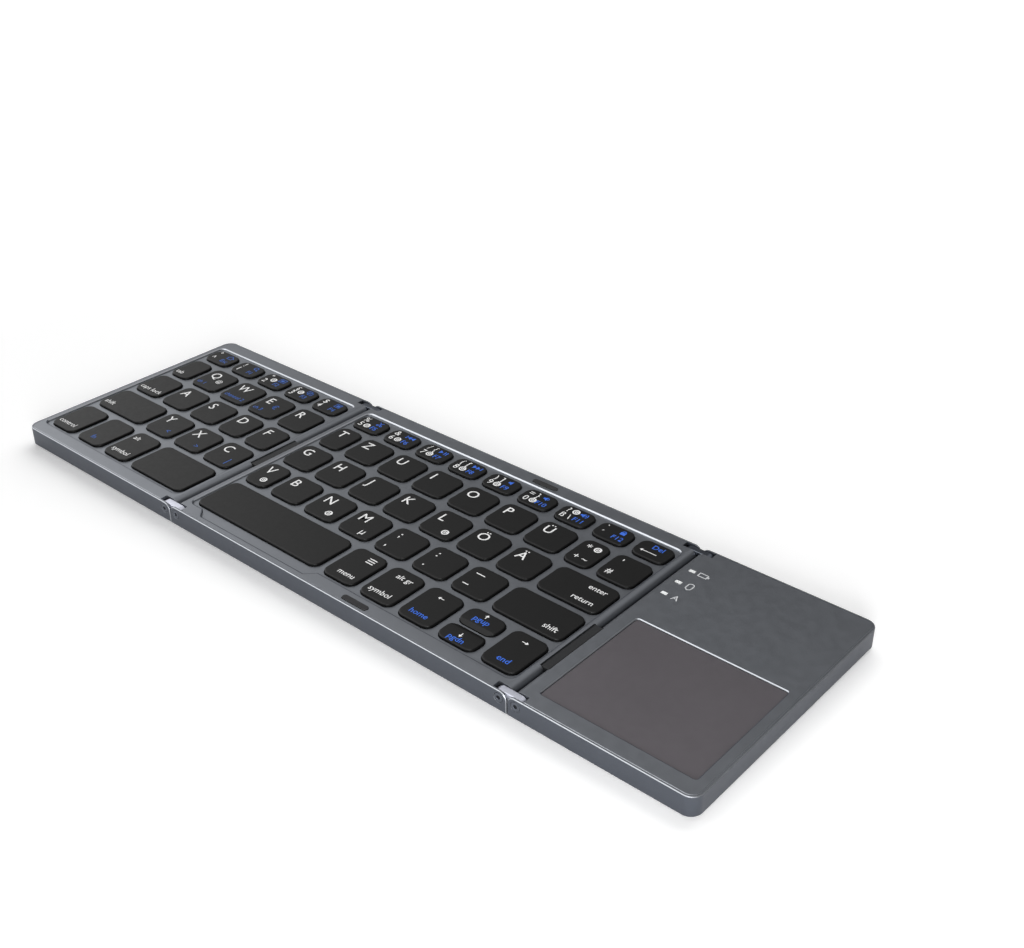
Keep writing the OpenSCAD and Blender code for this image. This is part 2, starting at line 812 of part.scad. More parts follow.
module charging_socket() {
    inner = [socket_w - 2 * socket_wall, socket_h - 2 * socket_wall];
    color("silver") translate([socket_x, 0, board_z + board_t + socket_h / 2]) {
        translate([0, socket_face, 0]) rotate([90, 0, 0]) linear_extrude(socket_l)
            difference() {
                square([socket_w, socket_h], center = true);
                square(inner, center = true);
            }
        translate([-socket_w / 2, socket_face - socket_l - 0.5, -socket_h / 2])
            cube([socket_w, 0.5 + eps, socket_h]);
        translate([-inner[0] / 2 + 1.2, socket_face - socket_l, 0])
            cube([inner[0] - 2.4, socket_l - 0.8, 0.5]);
    }
}

module power_switch_body() {
    color("silver") difference() {
        translate([
            switch_x - switch_body[0] / 2, board_y1 - switch_body[1], board_z + board_t
        ]) cube(switch_body);
        translate([switch_x, board_y1, knob_z])
            cube([switch_travel + knob[0] + 0.2, 1.6, knob[2] + 0.1], center = true);
    }
}

// The knob stands at the off end of its slot
module power_switch_knob() {
    y0 = board_y1 - 0.7;
    color("black")
        translate([switch_x - (switch_travel + knob[0]) / 2, y0, knob_z - knob[2] / 2])
            cube([knob[0], side - 0.1 - y0, knob[2]]);
}

module right_feet() {
    color("black") feet(RIGHT_FEET);
}

module right_hinge_pins() {
    color("gray") hinge_pins(right_face + pivot_inset);
}

module right_magnets() {
    color("silver") magnets(right_magnet_x);
}

// ---- Hinge plates and cable straps ----

module left_hinge_plate(s) {
    hinge_plate(left_face - pivot_inset, middle_left_face + pivot_inset, s);
}

module right_hinge_plate(s) {
    hinge_plate(middle_right_face - pivot_inset, right_face + pivot_inset, s);
}

module left_cable_strap() {
    color("black") cable_strap(left_joint, left_strap_y, left_strap_l);
}

module right_cable_strap() {
    color("black") cable_strap(right_joint, right_strap_y, right_strap_l);
}

// ---- Keys ----

module left_keys(row, first, last) {
    color("darkslategray") for (n = [first:last]) key(left_key(row, n));
}

module middle_keys(row, first, last) {
    color("darkslategray") for (n = [first:last]) key(middle_key(row, n));
}

module up_arrow_key() {
    color("darkslategray") arrow_key(up_arrow_box, -1);
}

module down_arrow_key() {
    color("darkslategray") arrow_key(down_arrow_box, 1);
}

middle_bottom_shell();
middle_key_frame();
middle_support_plate();
middle_membrane();
middle_rubber_domes();
middle_feet();
middle_hinge_pins();
fold_bumpers();
middle_magnets();
left_bottom_shell();
left_key_frame();
left_support_plate();
left_membrane();
left_rubber_domes();
left_feet();
left_hinge_pins();
left_magnets();
right_bottom_shell();
right_top_cover();
touchpad();
main_board();
battery();
charging_socket();
power_switch_body();
power_switch_knob();
indicator_lights();
right_feet();
right_hinge_pins();
right_magnets();
color("silver") left_hinge_plate(-1);  // left_hinge_plate_front
color("silver") left_hinge_plate(1);  // left_hinge_plate_rear
left_cable_strap();
color("silver") right_hinge_plate(-1);  // right_hinge_plate_front
color("silver") right_hinge_plate(1);  // right_hinge_plate_rear
right_cable_strap();
left_keys(0, 0, 4);  // left_number_keys
left_keys(1, 1, 4);  // left_top_letter_keys
left_keys(2, 1, 4);  // left_home_letter_keys
left_keys(3, 1, 3);  // left_low_letter_keys
middle_keys(0, 0, 7);  // middle_number_keys
middle_keys(1, 0, 8);  // middle_top_letter_keys
middle_keys(2, 0, 6);  // middle_home_letter_keys
middle_keys(3, 0, 6);  // middle_low_letter_keys
left_keys(1, 0, 0);  // tab_key
left_keys(2, 0, 0);  // caps_lock_key
left_keys(3, 0, 0);  // left_shift_key
left_keys(4, 0, 0);  // control_key
left_keys(4, 1, 1);  // fn_key
left_keys(4, 2, 2);  // alt_key
left_keys(4, 3, 3);  // left_space_key
middle_keys(4, 0, 0);  // space_key
middle_keys(4, 1, 1);  // command_key
middle_keys(4, 2, 2);  // alt_gr_key
middle_keys(4, 3, 3);  // left_arrow_key
up_arrow_key();
down_arrow_key();
middle_keys(4, 5, 5);  // right_arrow_key
middle_keys(0, 8, 8);  // backspace_key
middle_keys(2, 7, 7);  // enter_key
middle_keys(3, 7, 7);  // right_shift_key
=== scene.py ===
"""Looks of the folding keyboard: finishes, key caps, legends, floor, lights and camera.

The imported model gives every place. Lengths are metres; MM turns millimetres into metres.
"""

import json
import math

import bmesh
import bpy
from mathutils import Matrix, Vector

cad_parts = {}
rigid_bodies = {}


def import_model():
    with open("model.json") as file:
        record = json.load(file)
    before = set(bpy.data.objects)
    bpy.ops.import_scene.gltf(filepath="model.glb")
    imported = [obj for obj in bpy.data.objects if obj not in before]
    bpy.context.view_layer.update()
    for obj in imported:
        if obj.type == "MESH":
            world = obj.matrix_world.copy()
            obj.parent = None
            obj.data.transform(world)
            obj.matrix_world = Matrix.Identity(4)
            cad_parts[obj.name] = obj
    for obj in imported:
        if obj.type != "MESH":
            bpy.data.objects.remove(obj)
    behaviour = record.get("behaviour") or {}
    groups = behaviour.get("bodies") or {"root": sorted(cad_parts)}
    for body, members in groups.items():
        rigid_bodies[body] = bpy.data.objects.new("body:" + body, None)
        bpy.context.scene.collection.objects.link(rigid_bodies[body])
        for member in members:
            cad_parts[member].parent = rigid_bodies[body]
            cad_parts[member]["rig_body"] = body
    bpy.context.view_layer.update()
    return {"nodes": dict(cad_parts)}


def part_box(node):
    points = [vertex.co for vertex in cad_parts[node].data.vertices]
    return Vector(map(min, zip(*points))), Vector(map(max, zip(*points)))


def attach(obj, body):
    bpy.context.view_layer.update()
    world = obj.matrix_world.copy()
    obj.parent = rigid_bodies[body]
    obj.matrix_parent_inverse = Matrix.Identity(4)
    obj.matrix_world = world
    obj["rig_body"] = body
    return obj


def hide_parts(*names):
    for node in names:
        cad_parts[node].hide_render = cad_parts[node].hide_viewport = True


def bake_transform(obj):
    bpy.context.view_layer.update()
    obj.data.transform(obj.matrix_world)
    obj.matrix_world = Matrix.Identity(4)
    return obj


MM = 0.001
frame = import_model()

# Heights and sizes that the pieces here share with the frame
RIM_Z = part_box("middle_key_frame")[1].z
KEY_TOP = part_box("space_key")[1].z
DECK_DEPTH = 0.7 * MM
DECK_Z = RIM_Z - DECK_DEPTH
FLANGE_Z = 5.95 * MM
KEY_CORNER = 3 * MM
ARROW_SLOPE = 1.7 * MM
ARROW_DROP = 0.7 * MM

# Points this close are one point, and a point this close to a plane lies on it
SAME_POINT = 0.002 * MM
ON_PLANE = 0.02 * MM
# A normal has no part along an axis below SLIGHT, and lies along it above MOSTLY
SLIGHT = 0.1
MOSTLY = 0.9


# ---- Materials ----


def srgb(red, green, blue):
    """A colour given as 0 to 255 display values, in the linear values that shaders take."""

    def linear(value):
        value /= 255
        return value / 12.92 if value <= 0.04045 else ((value + 0.055) / 1.055) ** 2.4

    return linear(red), linear(green), linear(blue), 1.0


def principled(name, colour, roughness, metallic=0.0, **sockets):
    """A new material with a Principled shader. Further sockets go by name, with _ for a space."""
    mat = bpy.data.materials.new(name)
    mat.use_nodes = True
    shader = mat.node_tree.nodes["Principled BSDF"]
    shader.inputs["Base Color"].default_value = colour
    shader.inputs["Roughness"].default_value = roughness
    shader.inputs["Metallic"].default_value = metallic
    for key, value in sockets.items():
        shader.inputs[key.replace("_", " ")].default_value = value
    return mat


def noise(mat, size, detail=3.0, stretch=(1, 1, 1)):
    """A noise texture with features of about size metres; stretch lengthens them along an axis."""
    nodes, links = mat.node_tree.nodes, mat.node_tree.links
    place = nodes.new("ShaderNodeTexCoord")
    mapping = nodes.new("ShaderNodeMapping")
    mapping.inputs["Scale"].default_value = [1 / s for s in stretch]
    texture = nodes.new("ShaderNodeTexNoise")
    texture.inputs["Scale"].default_value = 1 / size
    texture.inputs["Detail"].default_value = detail
    links.new(place.outputs["Object"], mapping.inputs["Vector"])
    links.new(mapping.outputs["Vector"], texture.inputs["Vector"])
    return texture.outputs["Fac"]


NOISE_LOW, NOISE_HIGH = 0.35, 0.65


def spread(mat, value, low, high):
    """Maps a noise value, which lies mostly from NOISE_LOW to NOISE_HIGH, to low to high."""
    node = mat.node_tree.nodes.new("ShaderNodeMapRange")
    node.inputs["From Min"].default_value = NOISE_LOW
    node.inputs["From Max"].default_value = NOISE_HIGH
    node.inputs["To Min"].default_value = low
    node.inputs["To Max"].default_value = high
    mat.node_tree.links.new(value, node.inputs["Value"])
    return node.outputs["Result"]


def mottled(mat, size, amount, stretch=(1, 1, 1)):
    """Lets the base colour vary by a share of itself over patches of that size."""
    shader = mat.node_tree.nodes["Principled BSDF"]
    base = shader.inputs["Base Color"].default_value
    mix = mat.node_tree.nodes.new("ShaderNodeMix")
    mix.data_type = "RGBA"
    mix.inputs["A"].default_value = [c * (1 - amount) for c in base[:3]] + [1]
    mix.inputs["B"].default_value = [min(1, c * (1 + amount)) for c in base[:3]] + [1]
    mix_fac = spread(mat, noise(mat, size, stretch=stretch), 0, 1)
    mat.node_tree.links.new(mix_fac, mix.inputs["Factor"])
    mat.node_tree.links.new(mix.outputs["Result"], shader.inputs["Base Color"])
    return mat


def uneven_gloss(mat, size, amount, stretch=(1, 1, 1)):
    """Lets the roughness vary by amount, up and down, over patches of that size."""
    socket = mat.node_tree.nodes["Principled BSDF"].inputs["Roughness"]
    level = socket.default_value
    varied = spread(mat, noise(mat, size, stretch=stretch), level - amount, level + amount)
    mat.node_tree.links.new(varied, socket)
    return mat


def grained(mat, size, depth, stretch=(1, 1, 1)):
    """Adds a bump of that grain size and depth, both in metres."""
    nodes, links = mat.node_tree.nodes, mat.node_tree.links
    bump = nodes.new("ShaderNodeBump")
    bump.inputs["Distance"].default_value = depth
    bump.inputs["Strength"].default_value = 1.0
    links.new(noise(mat, size, 2.0, stretch), bump.inputs["Height"])
    links.new(bump.outputs["Normal"], nodes["Principled BSDF"].inputs["Normal"])
    return mat


def blasted_metal(name, colour, roughness, metallic):
    """Bead-blasted and anodised aluminium: a fine grain, with a very slight cloudiness."""
    mat = principled(name, colour, roughness, metallic)
    mottled(mat, 6 * MM, 0.015)
    uneven_gloss(mat, 3 * MM, 0.02)
    return grained(mat, 0.28 * MM, 0.0035 * MM)


def moulded_plastic(name, colour, roughness, grain=0.0015 * MM):
    mat = principled(name, colour, roughness, Specular_IOR_Level=0.22)
    mottled(mat, 9 * MM, 0.03)
    uneven_gloss(mat, 1.5 * MM, 0.02)
    return grained(mat, 0.22 * MM, grain)


def soft_rubber(name, colour, roughness=0.75):
    mat = principled(name, colour, roughness, Specular_IOR_Level=0.35)
    mottled(mat, 4 * MM, 0.1)
    return grained(mat, 0.35 * MM, 0.008 * MM)


def brushed_steel(name, colour, roughness, stretch=(12, 1, 1), metallic=1.0):
    mat = principled(name, colour, roughness, metallic)
    mottled(mat, 0.25 * MM, 0.05, stretch)
    uneven_gloss(mat, 0.2 * MM, 0.06, stretch)
    return grained(mat, 0.12 * MM, 0.0012 * MM, stretch)


def printed_ink(name, colour):
    mat = principled(name, colour, 0.5, Specular_IOR_Level=0.3)
    mottled(mat, 0.6 * MM, 0.03)
    return grained(mat, 0.15 * MM, 0.001 * MM)


def lacquered_board(name):
    """Green solder mask with the faint relief of the tracks under it."""
    mat = principled(name, srgb(24, 92, 52), 0.3, Coat_Weight=0.5, Coat_Roughness=0.1)
    mottled(mat, 1.2 * MM, 0.15, (6, 1, 1))
    return grained(mat, 0.5 * MM, 0.02 * MM, (8, 1, 1))


# A darker copy of the deck metal: painted shade on the shells' walls and undersides, and a painted
# line of shade on the front and right chamfers of a recess.
shell_metal = blasted_metal("shell metal and painted shade", srgb(72, 76, 84), 0.42, 0.6)
deck_metal = blasted_metal("deck metal", srgb(113, 116, 121), 0.4, 0.88)
# A lighter copy of the deck metal: painted highlights on the walls of a recess, its rear and left
# chamfers, the seam chamfers and the shells' outer edge chamfers.
painted_highlight_metal = blasted_metal("painted highlight metal", srgb(166, 169, 174), 0.36, 0.9)
touchpad_face = grained(
    uneven_gloss(
        mottled(principled("touchpad face", srgb(92, 88, 92), 0.32, 0.35), 20 * MM, 0.03),
        2 * MM, 0.02,
    ),
    0.2 * MM, 0.0012 * MM,
)
key_plastic = moulded_plastic("key plastic", srgb(7, 7, 7), 0.45)
white_ink = printed_ink("white ink", srgb(243, 243, 243))
blue_ink = printed_ink("blue ink", srgb(50, 108, 222))
deep_blue_ink = printed_ink("deep blue ink", srgb(46, 92, 176))
dark_ink = printed_ink("dark ink", srgb(40, 40, 41))
grey_ink = printed_ink("grey ink", srgb(205, 207, 209))
strap_rubber = soft_rubber("strap rubber", srgb(17, 18, 20), 0.6)
foot_rubber = soft_rubber("foot rubber", srgb(34, 34, 35))
hinge_steel = brushed_steel("hinge steel", srgb(192, 194, 205), 0.36, metallic=0.7)
pin_steel_and_plate_shade = brushed_steel("pin steel and plate shade", srgb(96, 100, 108), 0.32, (1, 1, 1))
# Painted shade in the chamfer round each pin head and in its dimple.
painted_pin_shade = brushed_steel("painted pin shade", srgb(34, 36, 40), 0.5, (1, 1, 1))
magnet_steel = brushed_steel("magnet plating", srgb(190, 190, 192), 0.18, (1, 1, 1))
support_steel = brushed_steel("support steel", srgb(170, 170, 172), 0.4, (30, 1, 1))
socket_metal = brushed_steel("socket plating", srgb(196, 197, 200), 0.3, (1, 1, 1))
membrane_film = moulded_plastic("membrane film", srgb(196, 194, 180), 0.35, 0.001 * MM)
dome_silicone = soft_rubber("dome silicone", srgb(214, 214, 210), 0.6)
battery_foil = brushed_steel("battery foil", srgb(192, 193, 196), 0.35, (3, 1, 1))
switch_plastic = moulded_plastic("switch plastic", srgb(38, 38, 40), 0.5)
light_lens = moulded_plastic("light lens", srgb(240, 242, 242), 0.25, 0.0005 * MM)
board_lacquer = lacquered_board("board lacquer")


# ---- Skins: copies of the frame's solids with rounded edges ----


def add_object(name, bm, body, slot, *materials):
    """A new object from a bmesh, which is used up. It rides on the body, if one is given."""
    mesh = bpy.data.meshes.new(name)
    bm.normal_update()
    bm.to_mesh(mesh)
    bm.free()
    for mat in materials:
        mesh.materials.append(mat)
    obj = bpy.data.objects.new(name, mesh)
    bpy.context.scene.collection.objects.link(obj)
    if body:
        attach(obj, body)
    return obj


def smooth(obj, sharp=40):
    """Smooth shading up to that angle between faces, with the flat faces kept flat."""
    for face in obj.data.polygons:
        face.use_smooth = True
    obj.data.set_sharp_from_angle(angle=math.radians(sharp))
    weighted = obj.modifiers.new("weighted", "WEIGHTED_NORMAL")
    weighted.keep_sharp = True
    return obj


FLAT_ANGLE = math.radians(0.6)
CORNER_ANGLE = math.radians(32)


def solid_copy(node):
    """A bmesh of a frame node with whole flat faces instead of triangles."""
    bm = bmesh.new()
    bm.from_mesh(frame["nodes"][node].data)
    bmesh.ops.remove_doubles(bm, verts=bm.verts, dist=SAME_POINT)
    bmesh.ops.dissolve_limit(
        bm, angle_limit=FLAT_ANGLE, verts=bm.verts, edges=bm.edges, delimit={"NORMAL"}
    )
    return bm


def round_edges(bm, width):
    """Rounds each edge where two faces meet at more than CORNER_ANGLE."""
    corners = [e for e in bm.edges if e.is_manifold and e.calc_face_angle() > CORNER_ANGLE]
    bmesh.ops.bevel(
        bm, geom=corners, offset=width, offset_type="OFFSET", segments=2, profile=0.5,
        affect="EDGES", clamp_overlap=True,
    )


def top_edges(bm, kept):
    """Edges of the top face where an upright wall meets it, if the wall passes the test."""
    bm.normal_update()
    return [
        e for e in bm.edges
        if e.is_manifold
        and all(abs(v.co.z - RIM_Z) < ON_PLANE for v in e.verts)
        and any(abs(f.normal.z) < SLIGHT and kept(f) for f in e.link_faces)
    ]


def chamfer(bm, edges, width, slot):
    """Cuts the edges off flat, gives the new faces the material of that slot and returns them."""
    cut = bmesh.ops.bevel(
        bm, geom=edges, offset=width, offset_type="OFFSET", segments=1, profile=0.5,
        affect="EDGES", clamp_overlap=False,
    )
    for face in cut["faces"]:
        face.material_index = slot
    return cut["faces"]


# The chamfers at the front and right of a recess are this deep. Their normals lean to the rear by
# more than REARWARD or to the left beyond LEFTWARD.
SHALLOW_CHAMFER = 0.15 * MM
REARWARD, LEFTWARD = 0.3, -0.5


def flatten(faces, slot):
    """Makes the chamfers at the front and right of a recess shallow, with that slot's material."""
    for face in faces:
        face.normal_update()
    for face in faces:
        if face.normal.y > REARWARD or face.normal.x < LEFTWARD:
            face.material_index = slot
            for vert in face.verts:
                vert.co.z = max(vert.co.z, RIM_Z - SHALLOW_CHAMFER)


def inside(low, high, margin):
    """A test for points that lie in a box, seen from above, by more than the margin."""
    return lambda p: (
        low.x + margin < p.x < high.x - margin and low.y + margin < p.y < high.y - margin
    )


def skin(node, slot, width, *materials, shape=None):
    """Stands a rounded copy in for a frame node. shape changes its bmesh before the rounding."""
    bm = solid_copy(node)
    if shape:
        shape(bm)
    round_edges(bm, width)
    obj = add_object(f"{node}_skin", bm, frame["nodes"][node]["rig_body"], slot, *materials)
    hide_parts(node)
    return smooth(obj)


# Walls of the seam to the shell lie within SEAM_INSET of their node's outline, and beyond
# SEAM_END_X or SEAM_END_Y from the middle. The others there are at a joint.
SEAM_INSET = 1.2 * MM
SEAM_END_X, SEAM_END_Y = 148 * MM, 47 * MM
# A wall belongs to a recess if it ends within FLOOR_TOLERANCE of its floor
PAD_FLOOR_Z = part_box("touchpad")[0].z
FLOOR_TOLERANCE = 0.05 * MM
# A shell's wall is higher than WALL_HEIGHT, with a normal that leans up or down by less than
# WALL_LEAN. Its underside's normals point down beyond DOWNWARD.
WALL_HEIGHT = 4 * MM
WALL_LEAN = 0.35
DOWNWARD = -0.5
# A shell's outside lies within OUTSIDE of its ends, so beyond OUTER_WALL at the front and rear. Its
# edges are sharper than EDGE_ANGLE, in radians, and on a shoulder over SHOULDER_R from the pins.
OUTSIDE = 0.3 * MM
OUTER_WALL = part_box("middle_bottom_shell")[1].y - OUTSIDE
EDGE_ANGLE = 0.5
SHOULDER_R = 2.2 * MM
OUTER_CHAMFER = 0.22 * MM
# A pin's heads end at HEAD_FACE from the middle, with an edge sharper than HEAD_EDGE_ANGLE, in
# radians. A dimple is smaller than DIMPLE_R, and its floor is sunk between the two DIMPLE_DEPTHS.
HEAD_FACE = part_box("middle_hinge_pins")[1].y
HEAD_EDGE_ANGLE = 1
HEAD_CHAMFER = 0.14 * MM
PIN_HEAD_R = 1.65 * MM
DIMPLE_R = 1 * MM
DIMPLE_DEPTHS = (0.05 * MM, 0.25 * MM)


def end_pins(node):
    """The centres, seen along Y, of the pins at the two ends of a node of pins."""
    low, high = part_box(node)
    middle = (low.z + high.z) / 2
    return [Vector((low.x + PIN_HEAD_R, middle)), Vector((high.x - PIN_HEAD_R, middle))]


PIN_CENTRES = [c for side in ("left", "middle", "right") for c in end_pins(f"{side}_hinge_pins")]


def pin_centre(point):
    """The centre of the pin nearest to a point, seen along Y."""
    return min(PIN_CENTRES, key=lambda c: (point.xz - c).length)


def painted_light_rims(node, recess, recess_width, seam_width):
    """A shape for skin(): chamfers round a recess and along the seam to the shell, with painted
    light.

    The recess's walls, its rear and left chamfers and the seam chamfers take slot 1, a lighter
    metal, as painted highlights. Its front and right chamfers take slot 2, a darker metal, as a
    painted line of shade.

    recess is the low and high corner of its box, and the height of its floor.
    """
    low, high, floor_z = recess
    in_recess = inside(low, high, 0)
    box_low, box_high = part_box(node)
    within = inside(box_low, box_high, SEAM_INSET)

    def recess_wall(face):
        bottom = min(v.co.z for v in face.verts)
        return in_recess(face.calc_center_median()) and abs(bottom - floor_z) < FLOOR_TOLERANCE

    def seam_wall(face):
        spot = face.calc_center_median()
        at_joint = abs(spot.x) < SEAM_END_X and abs(spot.y) < SEAM_END_Y
        return not within(spot) and not at_joint

    def shape(bm):
        for face in bm.faces:
            bright = abs(face.normal.z) < SLIGHT and recess_wall(face)
            face.material_index = 1 if bright else 0
        rims = chamfer(bm, top_edges(bm, recess_wall), recess_width, 1)
        # Slot 2 is the darker metal: it paints a thin line of shade on a recess's front and right
        # chamfers.
        flatten(rims, 2)
        chamfer(bm, top_edges(bm, seam_wall), seam_width, 1)

    return shape


def at_front_or_rear(face):
    """Whether a face is on a shell's outer front or rear wall."""
    return abs(face.normal.y) > MOSTLY and abs(face.calc_center_median().y) > OUTER_WALL


def rim_edges(bm):
    """Edges round a shell's outside, on its top and along the ends of its round shoulders."""
    end = max(abs(v.co.x) for v in bm.verts) - OUTSIDE

    def outer(face):
        normal, spot = face.normal, face.calc_center_median()
        at_end = abs(normal.x) > MOSTLY and abs(spot.x) > end
        at_corner = min(abs(normal.x), abs(normal.y)) > SLIGHT and normal.dot(spot) > 0
        return abs(normal.z) < SLIGHT and (at_front_or_rear(face) or at_end or at_corner)

    found = []
    for edge in bm.edges:
        if not edge.is_manifold or edge.calc_face_angle() < EDGE_ANGLE:
            continue
        one, other = edge.link_faces
        on_top = all(abs(v.co.z - RIM_Z) < ON_PLANE for v in edge.verts)
        if on_top and (outer(one) or outer(other)):
            found.append(edge)
        elif at_front_or_rear(one) != at_front_or_rear(other):
            round_side = other if at_front_or_rear(one) else one
            spot = round_side.calc_center_median()
            on_shoulder = (spot.xz - pin_centre(spot)).length > SHOULDER_R
            normal = round_side.normal
            if abs(normal.y) < SLIGHT and normal.z > -SLIGHT and on_shoulder:
                found.append(edge)
    return found


def shell_painted_light(bm):
    """Shells keep the deck's metal on top and on the joint's round edge. Walls and undersides take
    a darker copy as painted shade, and the outer edge chamfers a lighter one as painted highlights.
    """
    bm.normal_update()
    for face in bm.faces:
        heights = [v.co.z for v in face.verts]
        steep = abs(face.normal.z) < WALL_LEAN
        wall = at_front_or_rear(face) or steep and max(heights) - min(heights) > WALL_HEIGHT
        face.material_index = 1 if wall or face.normal.z < DOWNWARD else 0
    chamfer(bm, rim_edges(bm), OUTER_CHAMFER, 2)


def pin_head_painted_shade(bm):
    """Pin heads with painted shade: a darker metal on the chamfer round each head and in its
    dimple.
    """
    bm.normal_update()
    head = [
        e for e in bm.edges
        if e.is_manifold
        and all(abs(abs(v.co.y) - HEAD_FACE) < ON_PLANE for v in e.verts)
        and e.calc_face_angle() > HEAD_EDGE_ANGLE
        and max((v.co.xz - pin_centre(v.co)).length for v in e.verts) > DIMPLE_R
    ]
    for face in bm.faces:
        depth = HEAD_FACE - abs(face.calc_center_median().y)
        sunk = abs(face.normal.y) > MOSTLY and DIMPLE_DEPTHS[0] < depth < DIMPLE_DEPTHS[1]
        face.material_index = 1 if sunk else 0
    chamfer(bm, head, HEAD_CHAMFER, 1)


STRAP_CUTS = 8
STRAP_EDGE = 0.12 * MM
CUT_TOLERANCE = 0.0001 * MM


def bending_strap(side, inward):
    """The rubber strap over a joint, as two halves that meet on the hinge plates' middle line.

    Neither half is attached to a panel, so neither bends about a pivot. inward is the way along X
    to the middle panel.
    """
    node = f"{side}_cable_strap"
    low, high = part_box(node)
    centre, reach = (low + high) / 2, (high.x - low.x) / 2
    for half, panel, way in (("inner", "middle", inward), ("outer", side, -inward)):
        along = Vector((way, 0, 0))
        bm = solid_copy(node)
        round_edges(bm, STRAP_EDGE)
        for i in range(STRAP_CUTS):
            cut = bmesh.ops.bisect_plane(
                bm, geom=bm.verts[:] + bm.edges[:] + bm.faces[:], dist=CUT_TOLERANCE,
                plane_co=centre + along * (reach * i / STRAP_CUTS), plane_no=-along,
                clear_outer=i == 0,
            )
            if i == 0:
                edges = [g for g in cut["geom_cut"] if isinstance(g, bmesh.types.BMEdge)]
                bmesh.ops.edgenet_fill(bm, edges=edges)
        obj = smooth(add_object(f"{node}_{half}", bm, None, "strap_rubber", strap_rubber))
        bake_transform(obj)
        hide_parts(node)


# Roundings of edges, the widths of the chamfers with painted light at a recess and at the seam, and
# how far the touchpad's recess is tested beyond the pad
METAL_EDGE, PIN_EDGE, PLATE_EDGE = 0.06 * MM, 0.05 * MM, 0.2 * MM
FOOT_EDGE, BUMPER_EDGE, KNOB_EDGE = 0.15 * MM, 0.2 * MM, 0.15 * MM
FRAME_RIMS = (0.42 * MM, 0.14 * MM)
COVER_RIMS = (0.28 * MM, 0.16 * MM)
PAD_MARGIN = Vector((0.5, 0.5, 0)) * MM


def skins():
    """Makes the skins of all nodes that show, apart from the keys."""
    for side in ("left", "middle", "right"):
        skin(
            f"{side}_bottom_shell", "shell_metal", METAL_EDGE, deck_metal, shell_metal, painted_highlight_metal,
            shape=shell_painted_light,
        )
        skin(f"{side}_feet", "foot_rubber", FOOT_EDGE, foot_rubber)
        skin(
            f"{side}_hinge_pins", "hinge_steel", PIN_EDGE, pin_steel_and_plate_shade, painted_pin_shade, shape=pin_head_painted_shade
        )
    for side in ("left", "middle"):
        node = f"{side}_key_frame"
        low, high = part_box(node)
        skin(
            node, "deck_metal", METAL_EDGE, deck_metal, painted_highlight_metal, shell_metal,
            shape=painted_light_rims(node, (low, high, DECK_Z), *FRAME_RIMS),
        )
    low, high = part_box("touchpad")
    recess = (low - PAD_MARGIN, high + PAD_MARGIN, PAD_FLOOR_Z)
    skin(
        "right_top_cover", "deck_metal", METAL_EDGE, deck_metal, painted_highlight_metal, shell_metal,
        shape=painted_light_rims("right_top_cover", recess, *COVER_RIMS),
    )
    for side in ("left", "right"):
        skin(f"{side}_hinge_plate_front", "hinge_steel", PLATE_EDGE, hinge_steel)
        # The rear plates take the darker steel of the pins as painted shade, the front ones the
        # bright hinge steel.
        skin(f"{side}_hinge_plate_rear", "hinge_steel", PLATE_EDGE, pin_steel_and_plate_shade)
    bending_strap("left", 1)
    bending_strap("right", -1)
    skin("fold_bumpers", "foot_rubber", BUMPER_EDGE, foot_rubber)
    skin("touchpad", "touchpad_surface", METAL_EDGE, touchpad_face)
    skin("power_switch_knob", "switch_plastic", KNOB_EDGE, switch_plastic)
    skin("indicator_lights", "light_lens", METAL_EDGE, light_lens)


def refinish():
    """Gives the nodes that keep their own meshes their finishes."""
    finishes = {
        "middle_support_plate": support_steel, "left_support_plate": support_steel,
        "middle_membrane": membrane_film, "left_membrane": membrane_film,
        "middle_rubber_domes": dome_silicone, "left_rubber_domes": dome_silicone,
        "middle_magnets": magnet_steel, "left_magnets": magnet_steel,
        "right_magnets": magnet_steel, "main_board": board_lacquer,
        "battery": battery_foil, "charging_socket": socket_metal,
        "power_switch_body": socket_metal,
    }
    for node, mat in finishes.items():
        materials = frame["nodes"][node].data.materials
        materials.clear()
        materials.append(mat)


# ---- Key caps ----


def rounded_ring(box, inset, z, steps=7):
    """Points round a rounded rectangle; box is (x0, x1, y0, y1)."""
    x0, x1, y0, y1 = box[0] + inset, box[1] - inset, box[2] + inset, box[3] - inset
    r = KEY_CORNER - inset
    corners = (
        (x1 - r, y1 - r, 0), (x0 + r, y1 - r, 90), (x0 + r, y0 + r, 180), (x1 - r, y0 + r, 270)
    )
    points = []
    for cx, cy, start in corners:
        for i in range(steps + 1):
            angle = math.radians(start + 90 * i / steps)
            points.append((cx + r * math.cos(angle), cy + r * math.sin(angle), z))
    return points


def loft(bm, rings):
    """Joins rings of points into a closed solid."""
    loops = [[bm.verts.new(p) for p in ring] for ring in rings]
    count = len(loops[0])
    for low, high in zip(loops, loops[1:]):
        for i in range(count):
            j = (i + 1) % count
            bm.faces.new((low[i], low[j], high[j], high[i]))
    bm.faces.new(reversed(loops[0]))
    bm.faces.new(loops[-1])


# A key's points that are more than this above its flange belong to its cap
OVER_FLANGE = 0.1 * MM


